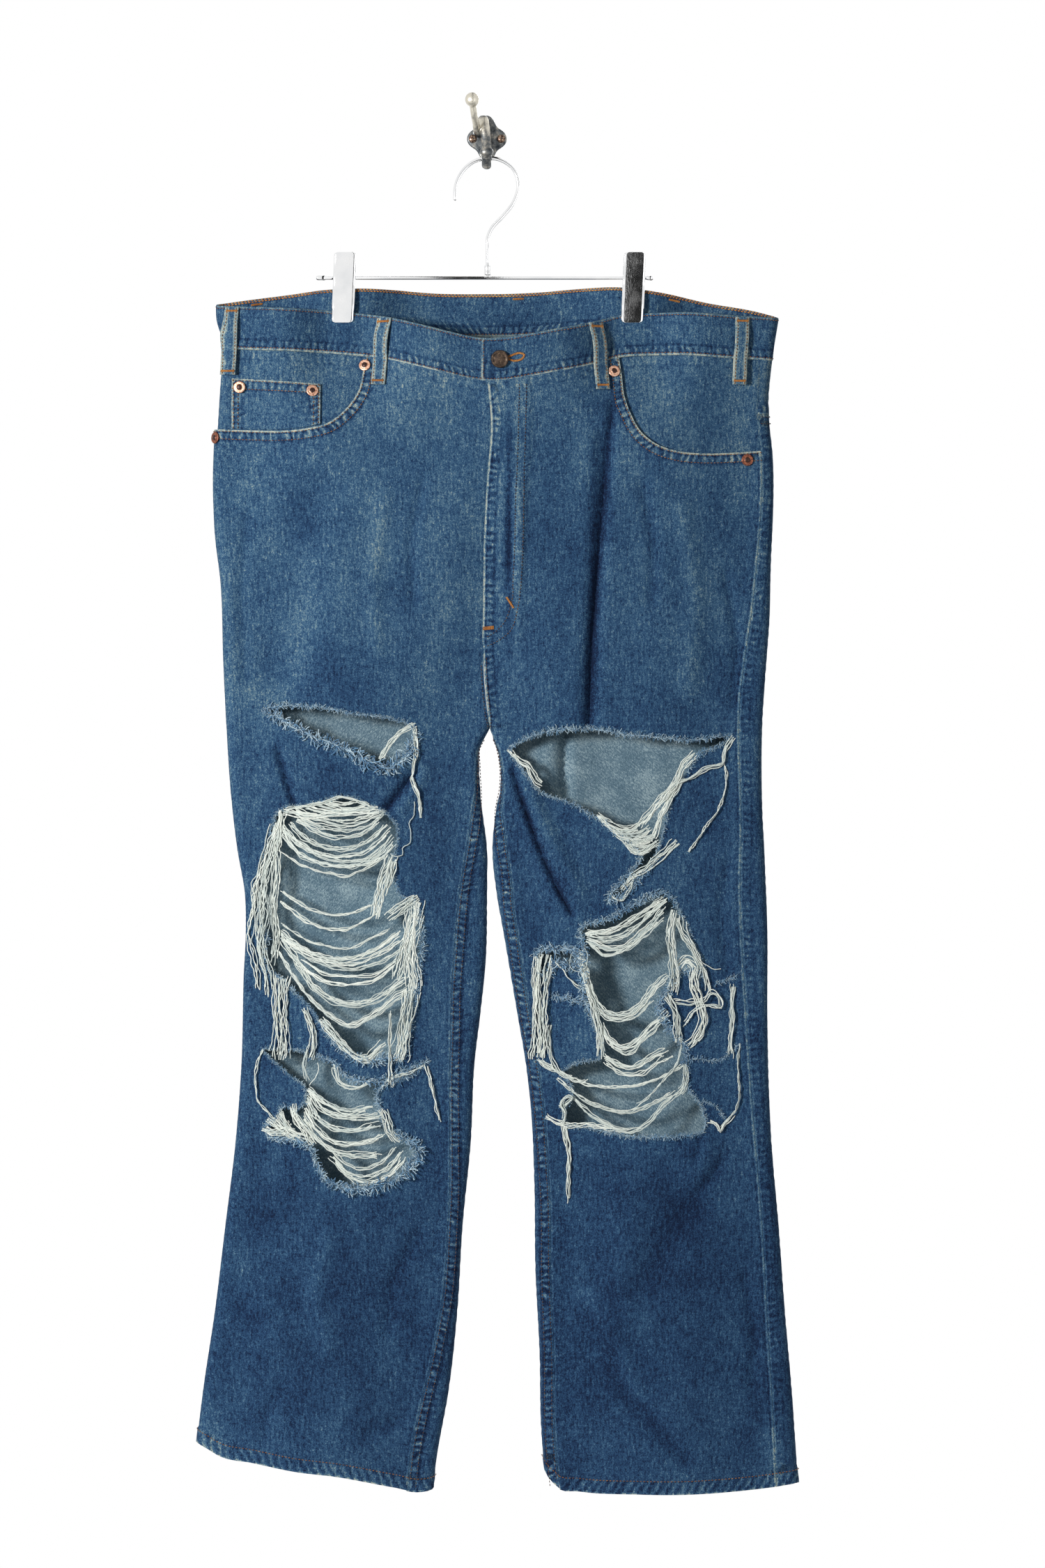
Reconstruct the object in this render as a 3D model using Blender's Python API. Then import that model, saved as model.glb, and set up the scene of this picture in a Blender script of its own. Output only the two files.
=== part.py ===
"""Ripped straight-leg jeans hanging by the waistband from a clip hanger on a small wall hook.

Units are metres, +Z up, +X to the wearer's left, +Y into the wall.  The origin is the centre of the
back face of the wall hook's plate.  Cloth places are written in millimetres as (across, down): across
is the distance out from the garment's centre line, down is the depth under the wall hook's centre.
"""
import math

import bmesh
import bpy
import numpy as np
from mathutils import Matrix, Vector
from mathutils.geometry import delaunay_2d_cdt

MM = 0.001
GAP = 0.3                  # clearance kept between touching pieces
DENIM = 1.5                # wall of one layer of denim
BAND = 3.0                 # wall of the doubled waistband
MID_Y = -45.0              # plane halfway between the front and the back of the garment
EDGE_R = 9.0               # rounding of the folded side edges
QUARTER = EDGE_R * math.pi / 2
SLACK = QUARTER - EDGE_R   # unrolled length that a rounded edge adds past its outline
BAND_HEIGHT = 42.0
CROTCH = 581.0
BUNDLE_SIDES = 6

for old in list(bpy.data.objects):
    bpy.data.objects.remove(old)


def material(name, colour, roughness, metallic=0.0):
    """One plain Principled material."""
    made = bpy.data.materials.new(name)
    made.use_nodes = True
    shader = made.node_tree.nodes["Principled BSDF"]
    shader.inputs["Base Color"].default_value = (*colour, 1.0)
    shader.inputs["Roughness"].default_value = roughness
    shader.inputs["Metallic"].default_value = metallic
    made.diffuse_color = (*colour, 1.0)
    return made


DENIM_BLUE = material("washed_denim", (0.075, 0.16, 0.29), 0.9)
YARN_WHITE = material("white_weft_yarn", (0.62, 0.68, 0.62), 0.9)
CHROME = material("bright_chrome", (0.75, 0.76, 0.77), 0.15, 1.0)
DARK_STEEL = material("dark_steel", (0.20, 0.21, 0.22), 0.3, 1.0)
CAST_IRON = material("cast_iron", (0.14, 0.16, 0.18), 0.45, 0.8)
BRASS = material("worn_brass", (0.42, 0.30, 0.17), 0.4, 1.0)
COPPER = material("copper", (0.45, 0.24, 0.12), 0.4, 1.0)


def keep(name, mesh, look, smooth=False):
    """Link a mesh as a node with its material."""
    mesh.materials.append(look)
    for face in mesh.polygons:
        face.use_smooth = smooth
    node = bpy.data.objects.new(name, mesh)
    bpy.context.collection.objects.link(node)
    return node


# ---------------------------------------------------------------- the shape that the cloth follows

def curve(rows, at):
    """Smooth value at each place through the rows of a two-column table."""
    keys = np.array([row[0] for row in rows], float)
    values = np.array([row[1] for row in rows], float)
    slopes = np.gradient(values, keys)
    at = np.clip(np.asarray(at, float), keys[0], keys[-1])
    i = np.clip(np.searchsorted(keys, at) - 1, 0, len(keys) - 2)
    step = keys[i + 1] - keys[i]
    t = (at - keys[i]) / step
    return ((2 * t**3 - 3 * t**2 + 1) * values[i] + (t**3 - 2 * t**2 + t) * step * slopes[i]
            + (3 * t**2 - 2 * t**3) * values[i + 1] + (t**3 - t**2) * step * slopes[i + 1])


def ease(t):
    """Smooth step from 0 to 1."""
    t = np.clip(t, 0.0, 1.0)
    return t * t * (3 - 2 * t)


# Centre line of the front and back seams: down, offset to the wearer's left.
CENTRE = [(150, 3), (246, 3), (282, 6), (342, 2), (405, -1), (473, -2), (501, -3), (537, -2), (566, 1), (581, 3)]
# How far each half of the seat runs on past the centre line: down, overlap.
OVERLAP = [(150, 110), (262, 110), (300, 98), (380, 78), (430, 62), (470, 48), (510, 33), (540, 20), (560, 10),
           (572, 4), (581, -0.9)]
# Forward and backward swell of the cloth from the middle plane: down, half depth.
FRONT_SWELL = [(150, 33), (245, 31), (330, 27), (450, 23), (581, 19), (700, 18), (850, 20), (1000, 18), (1330, 22)]
BACK_SWELL = [(150, 24), (245, 24), (400, 26), (581, 20), (700, 17), (1000, 17), (1330, 20)]
SWELL_REACH = 108.0        # distance over which the swell rises from each edge
VALLEY_SWELL = 22.0        # swell beside the centre seam, for the room between its edges
CLIP_DEPTH = 1.85          # half distance between front and back where a clip pinches them
CLIP_FLAT = 13.0           # half width that lies flat in a clip
CLIP_REACH = 38.0          # distance over which the cloth opens again beside a clip


class Leg:
    """Outline of one leg: across is measured outwards, so both legs read alike."""

    def __init__(self, side, outer, inner, inseam, outseam, hem, clip):
        self.side = side           # -1 wearer's right, +1 wearer's left
        self.outer = outer         # down, across of the outer edge
        self.inner = inner         # down, across of the inner edge, under the crotch
        self.inseam = inseam       # down, distance of the inseam from the inner edge, on the front
        self.outseam = outseam     # down, unrolled distance of the side seam past the outer edge
        self.hem = hem             # across, down of the hem's edge
        self.clip = clip           # across of the hanger clip

    def centre(self, down):
        return self.side * curve(CENTRE, down)

    def outer_edge(self, down):
        return curve(self.outer, down)

    def inner_edge(self, down):
        down = np.asarray(down, float)
        above = self.centre(down) - curve(OVERLAP, down)
        return np.where(down < CROTCH, above, curve(self.inner, down))

    def outer_limit(self, down):
        return self.outer_edge(down) + SLACK

    def inner_limit(self, down):
        return self.inner_edge(down) - SLACK

    def seam_centre(self, down):
        """Unrolled place where a half of the seat ends at the centre seam."""
        overlap = curve(OVERLAP, down)
        cut = np.clip((EDGE_R - overlap - GAP / 2) / (EDGE_R + DENIM / 2), -1.0, 1.0)
        rounded = self.inner_limit(down) + EDGE_R * np.arccos(cut)
        return np.where(overlap < EDGE_R, rounded, self.centre(down) + GAP / 2 + self.valley(overlap))

    def valley(self, overlap):
        """Room that the leaning walls need at the centre seam."""
        t = np.clip((overlap - EDGE_R) / SWELL_REACH, 0, 1)
        return DENIM / 2 * 6 * t * (1 - t) * VALLEY_SWELL / SWELL_REACH

    def seam_inner(self, down):
        """Unrolled place of the inseam."""
        away = curve(self.inseam, down)
        turned = EDGE_R * np.arccos(np.clip(1 - away / EDGE_R, -1.0, 1.0))
        run = np.where(away < EDGE_R, turned, away + SLACK)
        return self.inner_limit(down) + run

    def seam_outer(self, down):
        """Unrolled place of the side seam: past the limit it lies on the back."""
        return self.outer_limit(down) + curve(self.outseam, down)

    def hem_edge(self, across):
        return curve(self.hem, across)


RIGHT = Leg(
    side=-1,
    outer=[(150, 262), (180, 263), (200, 258), (225, 261), (265, 264), (353, 267), (394, 265), (435, 260),
           (516, 257), (577, 254), (650, 249), (700, 243), (741, 236), (781, 235), (822, 237), (904, 239),
           (985, 245), (1067, 255), (1149, 265), (1230, 277), (1291, 284), (1330, 287)],
    inner=[(581, -2.1), (590, 3), (598, 7), (618, 8), (650, 6), (700, 0), (741, 0), (802, 1), (863, 7), (904, 12),
           (985, 16), (1067, 24), (1149, 29), (1230, 38), (1291, 49), (1330, 54)],
    inseam=[(581, 0.1), (596, 1.0), (611, 2.5), (641, 5), (674, 13), (700, 20), (752, 28), (824, 31), (904, 24),
            (985, 20), (1042, 15), (1135, 15), (1182, 19), (1244, 25), (1330, 25)],
    outseam=[(150, 10), (1330, 10)],
    hem=[(40, 1313), (54, 1318), (62, 1326), (91, 1321), (146, 1310), (187, 1305), (228, 1297), (260, 1291),
         (279, 1280), (300, 1272)],
    clip=139,
)
LEFT = Leg(
    side=1,
    outer=[(150, 284), (180, 284), (205, 280), (225, 278), (271, 275), (312, 279), (435, 277), (475, 276),
           (516, 273), (577, 269), (659, 269), (700, 271), (781, 274), (863, 274), (985, 278), (1067, 285),
           (1149, 291), (1230, 298), (1303, 303), (1330, 305)],
    inner=[(581, 3.9), (590, 7), (598, 10), (618, 14), (639, 14), (659, 10), (700, 6), (741, 10), (781, 17),
           (822, 24), (863, 31), (904, 38), (945, 43), (1026, 47), (1108, 48), (1189, 52), (1271, 54), (1330, 60)],
    inseam=[(581, 0.1), (596, 1.5), (625, 2.5), (654, 4.6), (693, 13), (719, 16), (753, 14), (822, 12),
            (985, 13), (1067, 15), (1149, 14), (1330, 12)],
    outseam=[(150, -17), (224, -17), (361, -17), (436, -20), (492, -25), (547, -28), (658, -26), (754, -31),
             (879, -25), (990, -21), (1109, -22), (1234, -25), (1330, -27)],
    hem=[(50, 1294), (60, 1307), (68, 1319), (90, 1325), (150, 1327), (195, 1327), (237, 1325), (278, 1321),
         (310, 1316)],
    clip=144,
)

# Soft folds of the front: across, down at both ends, half width, depth (in is negative).  Side -1 or +1.
FOLDS = [
    (1, 112, 300, 99, 590, 9, -5.0),
    (1, 30, 640, 88, 770, 16, 5.0),
    (-1, 156, 330, 206, 560, 26, -5.0),
    (-1, 230, 1130, 196, 1190, 22, 4.5),
    (1, 137, 1030, 130, 1170, 22, 4.0),
    (1, 215, 980, 200, 1030, 16, 4.0),
]


def fold_depth(side, across, down):
    """Outward shift that the folds give at each place."""
    total = np.zeros(np.broadcast(across, down).shape)
    for fold_side, a0, d0, a1, d1, width, depth in FOLDS:
        if fold_side != side:
            continue
        run = np.hypot(a1 - a0, d1 - d0)
        along = ((across - a0) * (a1 - a0) + (down - d0) * (d1 - d0)) / run
        aside = ((across - a0) * (d1 - d0) - (down - d0) * (a1 - a0)) / run
        taper = ease((along + width) / (2 * width)) * ease((run + width - along) / (2 * width))
        total = total + depth * taper * np.exp(-(aside / width) ** 2)
    return total


def facing_place(leg, flat, down):
    """The same place counted on the front, and whether it lies on the back."""
    outer, inner = leg.outer_limit(down), leg.inner_limit(down)
    flat = inner + np.mod(flat - inner, 2 * (outer - inner))
    behind = flat > outer
    return np.where(behind, 2 * outer - flat, flat), behind


def skin_mid(leg, flat, down):
    """Place of the cloth's middle at unrolled places; the array's last axis is x, y, z in mm."""
    flat, down = np.broadcast_arrays(np.asarray(flat, float), np.asarray(down, float))
    outer, inner = leg.outer_limit(down), leg.inner_limit(down)
    seen, behind = facing_place(leg, flat, down)
    out_turn = np.clip((outer - seen) / EDGE_R, 0, math.pi / 2)
    in_turn = np.clip((seen - inner) / EDGE_R, 0, math.pi / 2)
    across = np.where(outer - seen < QUARTER, outer - SLACK - EDGE_R * (1 - np.cos(out_turn)), seen)
    across = np.where(seen - inner < QUARTER, inner + SLACK + EDGE_R * (1 - np.cos(in_turn)), across)
    rise = ease((outer - seen - QUARTER) / SWELL_REACH) * ease((seen - inner - QUARTER) / SWELL_REACH)
    swell = np.where(behind, curve(BACK_SWELL, down), curve(FRONT_SWELL, down))
    depth = EDGE_R * np.sin(np.minimum(out_turn, in_turn)) + (swell - EDGE_R) * rise
    calm = ease((outer - seen) / 30) * ease((seen - inner) / 30)
    depth = depth + np.where(behind, 0.0, fold_depth(leg.side, across, down) * calm)
    beside = np.maximum(np.abs(across - leg.clip) - CLIP_FLAT, 0)
    pinch = np.exp(-(beside / CLIP_REACH) ** 2) * (1 - ease((down - 190) / 120))
    depth = CLIP_DEPTH + (depth - CLIP_DEPTH) * (1 - pinch)
    y = MID_Y + np.where(behind, depth, -depth)
    return np.stack([leg.side * across, y, -down], axis=-1)


def skin(leg, flat, down, off=0.0):
    """Place on the cloth, moved outwards from its middle by off."""
    mid = skin_mid(leg, flat, down)
    step = 0.6
    over = skin_mid(leg, flat + step, down) - skin_mid(leg, flat - step, down)
    under = skin_mid(leg, flat, down + step) - skin_mid(leg, flat, down - step)
    normal = np.cross(over, under) * -leg.side
    normal /= np.linalg.norm(normal, axis=-1, keepdims=True)
    return mid + normal * np.asarray(off)[..., None]


# ---------------------------------------------------------------- cutting a panel out of the cloth

def inside(polygon, points):
    """Which points lie in a polygon, by counting crossed edges."""
    result = np.zeros(len(points), bool)
    x, y = points[:, 0], points[:, 1]
    for (x0, y0), (x1, y1) in zip(polygon, np.roll(polygon, -1, axis=0)):
        crosses = (y0 > y) != (y1 > y)
        with np.errstate(divide="ignore", invalid="ignore"):
            at = (x1 - x0) * (y - y0) / (y1 - y0) + x0
        result ^= crosses & (x < at)
    return result


def distance(polygon, points):
    """Distance of each point from a closed outline."""
    best = np.full(len(points), np.inf)
    for a, b in zip(polygon, np.roll(polygon, -1, axis=0)):
        run = b - a
        t = np.clip(((points - a) @ run) / max(run @ run, 1e-9), 0, 1)
        best = np.minimum(best, np.linalg.norm(points - (a + t[:, None] * run), axis=1))
    return best


def triangulate(outline, holes, inner_points, clear):
    """Triangles of a flat piece with holes: its points and its faces.

    Inner points nearer to an outline than clear are left out.
    """
    rings = [np.array(ring, float) for ring in [outline, *holes]]
    fill = np.array(inner_points, float)
    if len(fill):
        fill = fill[inside(rings[0], fill)]
        for ring in rings:
            fill = fill[distance(ring, fill) > clear]
        for ring in rings[1:]:
            fill = fill[~inside(ring, fill)]
    points, edges = [], []
    for ring in rings:
        first = len(points)
        points += [tuple(p) for p in ring]
        edges += [(first + i, first + (i + 1) % len(ring)) for i in range(len(ring))]
    points += [tuple(p) for p in fill]
    made, _, faces, *_ = delaunay_2d_cdt([Vector(p) for p in points], edges, [], 0, 1e-5)
    made = np.array([tuple(p) for p in made])
    centres = np.array([made[list(face)].mean(axis=0) for face in faces])
    use = inside(rings[0], centres)
    for ring in rings[1:]:
        use &= ~inside(ring, centres)
    return made, [face for face, good in zip(faces, use) if good]


def thicken(name, upper, lower, faces, look, smooth=True):
    """Closed wall between two sets of points that share their faces."""
    used = sorted({i for face in faces for i in face})
    new = {before: after for after, before in enumerate(used)}
    faces = [[new[i] for i in face] for face in faces]
    upper, lower = np.asarray(upper)[used] * MM, np.asarray(lower)[used] * MM
    edge_count = {}
    for face in faces:
        for a, b in zip(face, face[1:] + face[:1]):
            edge_count[(a, b)] = edge_count.get((a, b), 0) + 1
    rim = [(a, b) for a, b in edge_count if (b, a) not in edge_count]
    count = len(used)
    solid = [tuple(face) for face in faces]
    solid += [tuple(i + count for i in reversed(face)) for face in faces]
    solid += [(b, a, a + count, b + count) for a, b in rim]
    mesh = bpy.data.meshes.new(name)
    mesh.from_pydata([tuple(p) for p in np.vstack([upper, lower])], [], solid)
    shaped = bmesh.new()
    shaped.from_mesh(mesh)
    bmesh.ops.triangulate(shaped, faces=shaped.faces[:])
    bmesh.ops.recalc_face_normals(shaped, faces=shaped.faces[:])
    if shaped.calc_volume(signed=True) < 0:
        bmesh.ops.reverse_faces(shaped, faces=shaped.faces[:])
    shaped.to_mesh(mesh)
    shaped.free()
    return keep(name, mesh, look, smooth)


# Rows that all pieces and seams share, so that layers run side by side, with the spacing across at each.
ROWS = [*[(down, 14) for down in range(158, 270, 16)], *[(down, 15) for down in range(272, 340, 22)],
        *[(down, 26) for down in range(346, 500, 30)], *[(down, 44) for down in (520, 548, 572, 590, 611, 640, 672)],
        *[(down, 44) for down in range(716, 1300, 44)]]


def columns(leg, low, high, down, column, shift):
    """Unrolled places across a panel, close together where it turns round an edge."""
    outer, inner = float(leg.outer_limit(down)), float(leg.inner_limit(down))
    whole = 2 * (outer - inner)
    bends = [edge + turn * QUARTER for edge in (inner, outer, inner + whole)
             for turn in (-1.0, -0.5, 0.0, 0.5, 1.0)]
    out = [place for place in bends if low + 3 < place < high - 3]
    for mark in np.arange(-60 + shift, 330, column):
        for place in (mark, 2 * outer - mark, whole + mark):
            if low + 3 < place < high - 3 and min(abs(place - bend) for bend in bends) > column * 0.4:
                if inner < float(facing_place(leg, place, down)[0]) < outer and inner < mark < outer:
                    out.append(place)
    return out


def divided(leg, outline):
    """The outline with more points along its long runs across the cloth, most round the outer edge."""
    out = []
    for a, b in zip(outline, [*outline[1:], outline[0]]):
        edge = float(leg.outer_limit(a[1]))
        turning = min(a[0], b[0]) < edge + QUARTER and max(a[0], b[0]) > edge - QUARTER
        parts = max(1, math.ceil(abs(b[0] - a[0]) / (8.0 if turning else 26.0)))
        out += [(a[0] + (b[0] - a[0]) * k / parts, a[1] + (b[1] - a[1]) * k / parts) for k in range(parts)]
    return out


def panel(name, leg, outline, holes=(), off=0.0, thick=DENIM, look=DENIM_BLUE, clear=5.5):
    """One cut piece of cloth, as a thin wall that follows the garment."""
    outline = np.array(divided(leg, outline), float)
    fill = []
    for index, (down, column) in enumerate(ROWS):
        shift = column / 2 * (index % 2)
        crossing = []
        for (x0, y0), (x1, y1) in zip(outline, np.roll(outline, -1, axis=0)):
            if (y0 > down) != (y1 > down):
                crossing.append((x1 - x0) * (down - y0) / (y1 - y0) + x0)
        if len(crossing) >= 2:
            fill += [(place, down) for place in columns(leg, min(crossing), max(crossing), down, column, shift)]
    points, faces = triangulate(outline, holes, fill, clear)
    upper = skin(leg, points[:, 0], points[:, 1], off + thick / 2)
    lower = skin(leg, points[:, 0], points[:, 1], off - thick / 2)
    return thicken(name, upper, lower, faces, look)


# Lines of the cut: across, down.
FRONT_TOP = [(-261, 168), (-243, 169), (-194, 171), (-151, 173), (-105, 178), (-59, 189), (-35, 195), (-5, 201),
             (16, 201), (42, 197), (63, 193), (93, 187), (112, 182), (129, 177), (157, 175), (186, 175), (240, 178),
             (284, 180)]
BACK_TOP = [(-261, 167), (-241, 164), (-184, 156), (-150, 152), (-87, 151), (-39, 154), (42, 153), (83, 150),
            (131, 150), (154, 153), (173, 156), (210, 164), (253, 172), (284, 180)]
# Yoke: across, height of its lower seam under the waistband's upper edge.
YOKE_DROP = [(0, 118), (130, 106), (262, 95)]


def band_top(leg, flat, down=200.0):
    """Height of the waistband's upper edge at an unrolled place."""
    seen, behind = facing_place(leg, flat, down)
    across = np.minimum(seen, leg.outer_edge(down))
    return float(curve(BACK_TOP if behind else FRONT_TOP, leg.side * across))


def hem_down(leg, flat):
    """Height of the hem at an unrolled place."""
    seen, _ = facing_place(leg, flat, 1300.0)
    return float(curve(leg.hem, np.minimum(seen, leg.outer_edge(1300.0))))


def hem_corners(leg):
    """Where the side seam and the inseam end at the hem."""
    return hem_down(leg, float(leg.seam_outer(1290))), hem_down(leg, float(leg.seam_inner(1315)))


def yoke_line(leg, flat):
    """Height of the yoke's lower seam at an unrolled place on the back."""
    seen, _ = facing_place(leg, flat, 262.0)
    return band_top(leg, flat, 262.0) + float(curve(YOKE_DROP, seen))


def spread(a, b, step):
    """Evenly spaced values from a to b."""
    return list(np.linspace(a, b, max(2, round(abs(b - a) / step) + 1)))


def downs(a, b):
    """The two ends and, between them, the rows that all seams share."""
    return [a, *[down for down, _ in ROWS if a + 7 < down < b - 7], b]


def waist_places(leg, low, high):
    """The two ends and, between them, the unrolled places that the band and the panels share."""
    outer = float(leg.outer_limit(200))
    shared = [*np.arange(12, outer - 24, 14), *[outer + QUARTER * k for k in (-1.5, -1, -0.5, 0, 0.5, 1, 1.5)],
              *np.arange(outer + 40, 2 * outer + 20, 18)]
    return [low, *[flat for flat in shared if low + 4 < flat < high - 4], high]


# Pocket mouths: across, down from the waistband to the side seam.
RIGHT_SCOOP = [(118, 222), (121, 236), (124, 250), (132, 264), (141, 274), (155, 284), (175, 289), (201, 291),
               (233, 290), (263, 289), (279, 289)]
LEFT_SCOOP = [(130, 224), (132, 238), (134, 256), (140, 274), (150, 292), (165, 304), (186, 311), (208, 313),
              (240, 312), (264, 310)]

# Holes worn through the fronts, each with its outline as across, down.
RIP_THIGH_R = [(216, 562), (203, 560), (182, 559), (158, 561), (135, 566), (107, 569), (87, 573), (76, 577),
               (68, 588), (76, 604), (86, 619), (99, 633), (95, 618), (106, 615), (116, 613), (131, 605),
               (148, 596), (165, 590), (182, 581), (199, 572)]
RIP_KNEE_R = [(201, 660), (172, 655), (138, 647), (111, 657), (99, 663), (88, 676), (90, 705), (88, 735),
              (80, 747), (69, 751), (65, 768), (63, 785), (66, 815), (72, 856), (77, 883), (83, 903), (97, 902),
              (116, 904), (133, 899), (147, 888), (160, 873), (167, 860), (178, 847), (189, 836), (201, 825),
              (211, 819), (219, 803), (214, 785), (220, 771), (225, 751), (222, 720), (213, 690)]
RIP_SHIN_R = [(218, 894), (199, 894), (179, 896), (160, 902), (150, 906), (141, 917), (129, 923), (113, 925),
              (97, 923), (82, 915), (58, 906), (69, 915), (84, 923), (101, 928), (107, 938), (103, 953), (99, 966),
              (87, 976), (72, 986), (65, 993), (73, 1007), (88, 1019), (106, 1027), (124, 1030), (143, 1027),
              (158, 1019), (165, 1004), (169, 991), (194, 981), (209, 979), (217, 970), (205, 962), (200, 951),
              (182, 951), (177, 940), (177, 930), (189, 921), (203, 909)]
RIP_THIGH_L = [(23, 601), (32, 594), (56, 585), (93, 581), (148, 588), (205, 592), (239, 589), (226, 598),
               (208, 605), (199, 618), (181, 647), (175, 670), (168, 694), (162, 711), (149, 726), (136, 741),
               (118, 748), (129, 734), (142, 719), (150, 706), (143, 696), (124, 681), (112, 670), (97, 662),
               (80, 653), (50, 641), (41, 628), (31, 615)]
RIP_KNEE_L = [(92, 775), (118, 767), (137, 756), (154, 747), (170, 741), (180, 747), (189, 762), (199, 785),
              (207, 822), (194, 817), (182, 823), (177, 836), (168, 849), (175, 870), (192, 890), (195, 905),
              (196, 931), (205, 943), (212, 957), (212, 972), (188, 978), (158, 979), (127, 976), (100, 970),
              (78, 966), (75, 955), (83, 943), (82, 928), (73, 917), (86, 908), (112, 901), (110, 883), (103, 863),
              (95, 843), (94, 822), (96, 798)]
RIP_SMALL_L = [(49, 798), (69, 796), (89, 799), (88, 811), (66, 811), (58, 822), (50, 818)]


# ---------------------------------------------------------------- the four long panels

CROTCH_STEPS = [548, 560, 572, 580]
FORK_STEPS = [584, 590, 600, 611, 625, 640, 655, 672]


def behind_place(leg, across, down):
    """Unrolled place on the back of a place counted on the front."""
    return float(2 * leg.outer_limit(down) - across)


def round_inner(leg, place, down):
    """Unrolled place, counted from the side seam round the back, of a place on the front's inner edge."""
    return float(2 * (leg.outer_limit(down) - leg.inner_limit(down)) + place)


def front_panel(name, leg, scoop, holes):
    """A front leg panel: waist, pocket mouth, side seam, hem, inseam and centre seam."""
    waist = [(flat, band_top(leg, flat) + BAND_HEIGHT + 2 * GAP)
             for flat in waist_places(leg, float(leg.seam_centre(244)), scoop[0][0] - 1.0)]
    side_low, inner_low = hem_corners(leg)
    side = [(float(leg.seam_outer(d)) - GAP / 2, d) for d in downs(scoop[-1][1], side_low)]
    inseam = [(float(leg.seam_inner(d)) + GAP / 2, d) for d in reversed([*FORK_STEPS, *downs(716, inner_low)])]
    hem = [(flat, hem_down(leg, flat)) for flat in spread(side[-1][0], inseam[0][0], 32)[1:-1]]
    centre = [(float(leg.seam_centre(d)), d) for d in reversed([*downs(waist[0][1] + 12, 520), *CROTCH_STEPS])]
    return panel(name, leg, [*waist, *scoop[1:-1], *side, *hem, *inseam, *centre], holes)


def yoke_seam(leg):
    """Points of the yoke's lower seam, from the side seam to the back centre seam."""
    near = float(leg.seam_outer(264)) + GAP / 2
    far = behind_place(leg, float(leg.seam_centre(270)), 270)
    return [(flat, yoke_line(leg, flat)) for flat in waist_places(leg, near, far)]


def back_panel(name, leg):
    """A back leg panel: yoke seam, centre seam, inseam, hem and side seam."""
    yoke = [(flat, down + GAP) for flat, down in yoke_seam(leg)]
    centre = [(behind_place(leg, float(leg.seam_centre(d)), d), d)
              for d in [*downs(yoke[-1][1] + 12, 520), *CROTCH_STEPS]]
    side_low, inner_low = hem_corners(leg)
    inseam = [(round_inner(leg, float(leg.seam_inner(d)) - GAP / 2, d), d)
              for d in [*FORK_STEPS, *downs(716, inner_low)]]
    side = [(float(leg.seam_outer(d)) + GAP / 2, d) for d in reversed(downs(yoke[0][1] + 12, side_low))]
    hem = [(flat, hem_down(leg, flat)) for flat in spread(inseam[-1][0], side[0][0], 32)[1:-1]]
    return panel(name, leg, [*yoke, *centre, *inseam, *hem, *side])


front_panel("front_right", RIGHT, RIGHT_SCOOP, [RIP_THIGH_R, RIP_KNEE_R, RIP_SHIN_R])
front_panel("front_left", LEFT, LEFT_SCOOP, [RIP_THIGH_L, RIP_KNEE_L, RIP_SMALL_L])
back_panel("back_right", RIGHT)
back_panel("back_left", LEFT)


# ---------------------------------------------------------------- yoke, pocket pieces and waistband

UNDER = DENIM + GAP + 1.1  # step from one layer of denim to the layer over or under it


def yoke_panel(name, leg):
    """Half of the V-shaped yoke between the waistband and a back panel."""
    near = float(leg.seam_outer(240)) + GAP / 2
    far = behind_place(leg, float(leg.seam_centre(240)), 240)
    waist = [(flat, band_top(leg, flat) + BAND_HEIGHT + 2 * GAP) for flat in waist_places(leg, near, far)]
    return panel(name, leg, [*waist, *reversed(yoke_seam(leg))])


yoke_panel("yoke_right", RIGHT)
yoke_panel("yoke_left", LEFT)

MOUTH_LAP = 11.0           # how far a pocket facing runs under the front panel
SIDE_ROOM = 2.0            # distance that a facing stops short of the side seam


def pocket_facing(name, leg, scoop):
    """Facing that shows behind a pocket mouth, one layer under the front panel."""
    start = scoop[0][0] - MOUTH_LAP
    end = float(leg.seam_outer(250)) - SIDE_ROOM
    waist = [(flat, band_top(leg, flat) + BAND_HEIGHT + 2 * GAP) for flat in waist_places(leg, start, end)]
    side = [(float(leg.seam_outer(d)) - SIDE_ROOM, d) for d in downs(waist[-1][1] + 15, scoop[-1][1] + MOUTH_LAP)]
    lower = [(across - MOUTH_LAP * 0.6, down + MOUTH_LAP) for across, down in reversed(scoop[3:-1])]
    left = [(start, down) for down in (262.0, 245.0)]
    return panel(name, leg, [*waist, *side, *lower, *left], off=-UNDER)


pocket_facing("pocket_facing_right", RIGHT, RIGHT_SCOOP)
pocket_facing("pocket_facing_left", LEFT, LEFT_SCOOP)

COIN_POCKET = [(162, 245), (205, 242), (249, 239), (249, 288), (225, 289), (201, 289.5), (178, 287.5), (162, 284.5)]
panel("coin_pocket", RIGHT, COIN_POCKET)

BACK_POCKET = [(58, 326), (132, 322), (206, 330), (203, 392), (200, 452), (132, 482), (63, 448), (60, 388)]
for label, leg in (("right", RIGHT), ("left", LEFT)):
    patch = [(behind_place(leg, across, down), down) for across, down in BACK_POCKET]
    panel(f"back_pocket_{label}", leg, patch, off=UNDER)

LAP_STEP = BAND + GAP
LAP_END = 30.0             # the buttoned-under end, out on the wearer's left
LAP_EDGE = 5.0             # the edge of the end on top, out on the wearer's right


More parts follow.
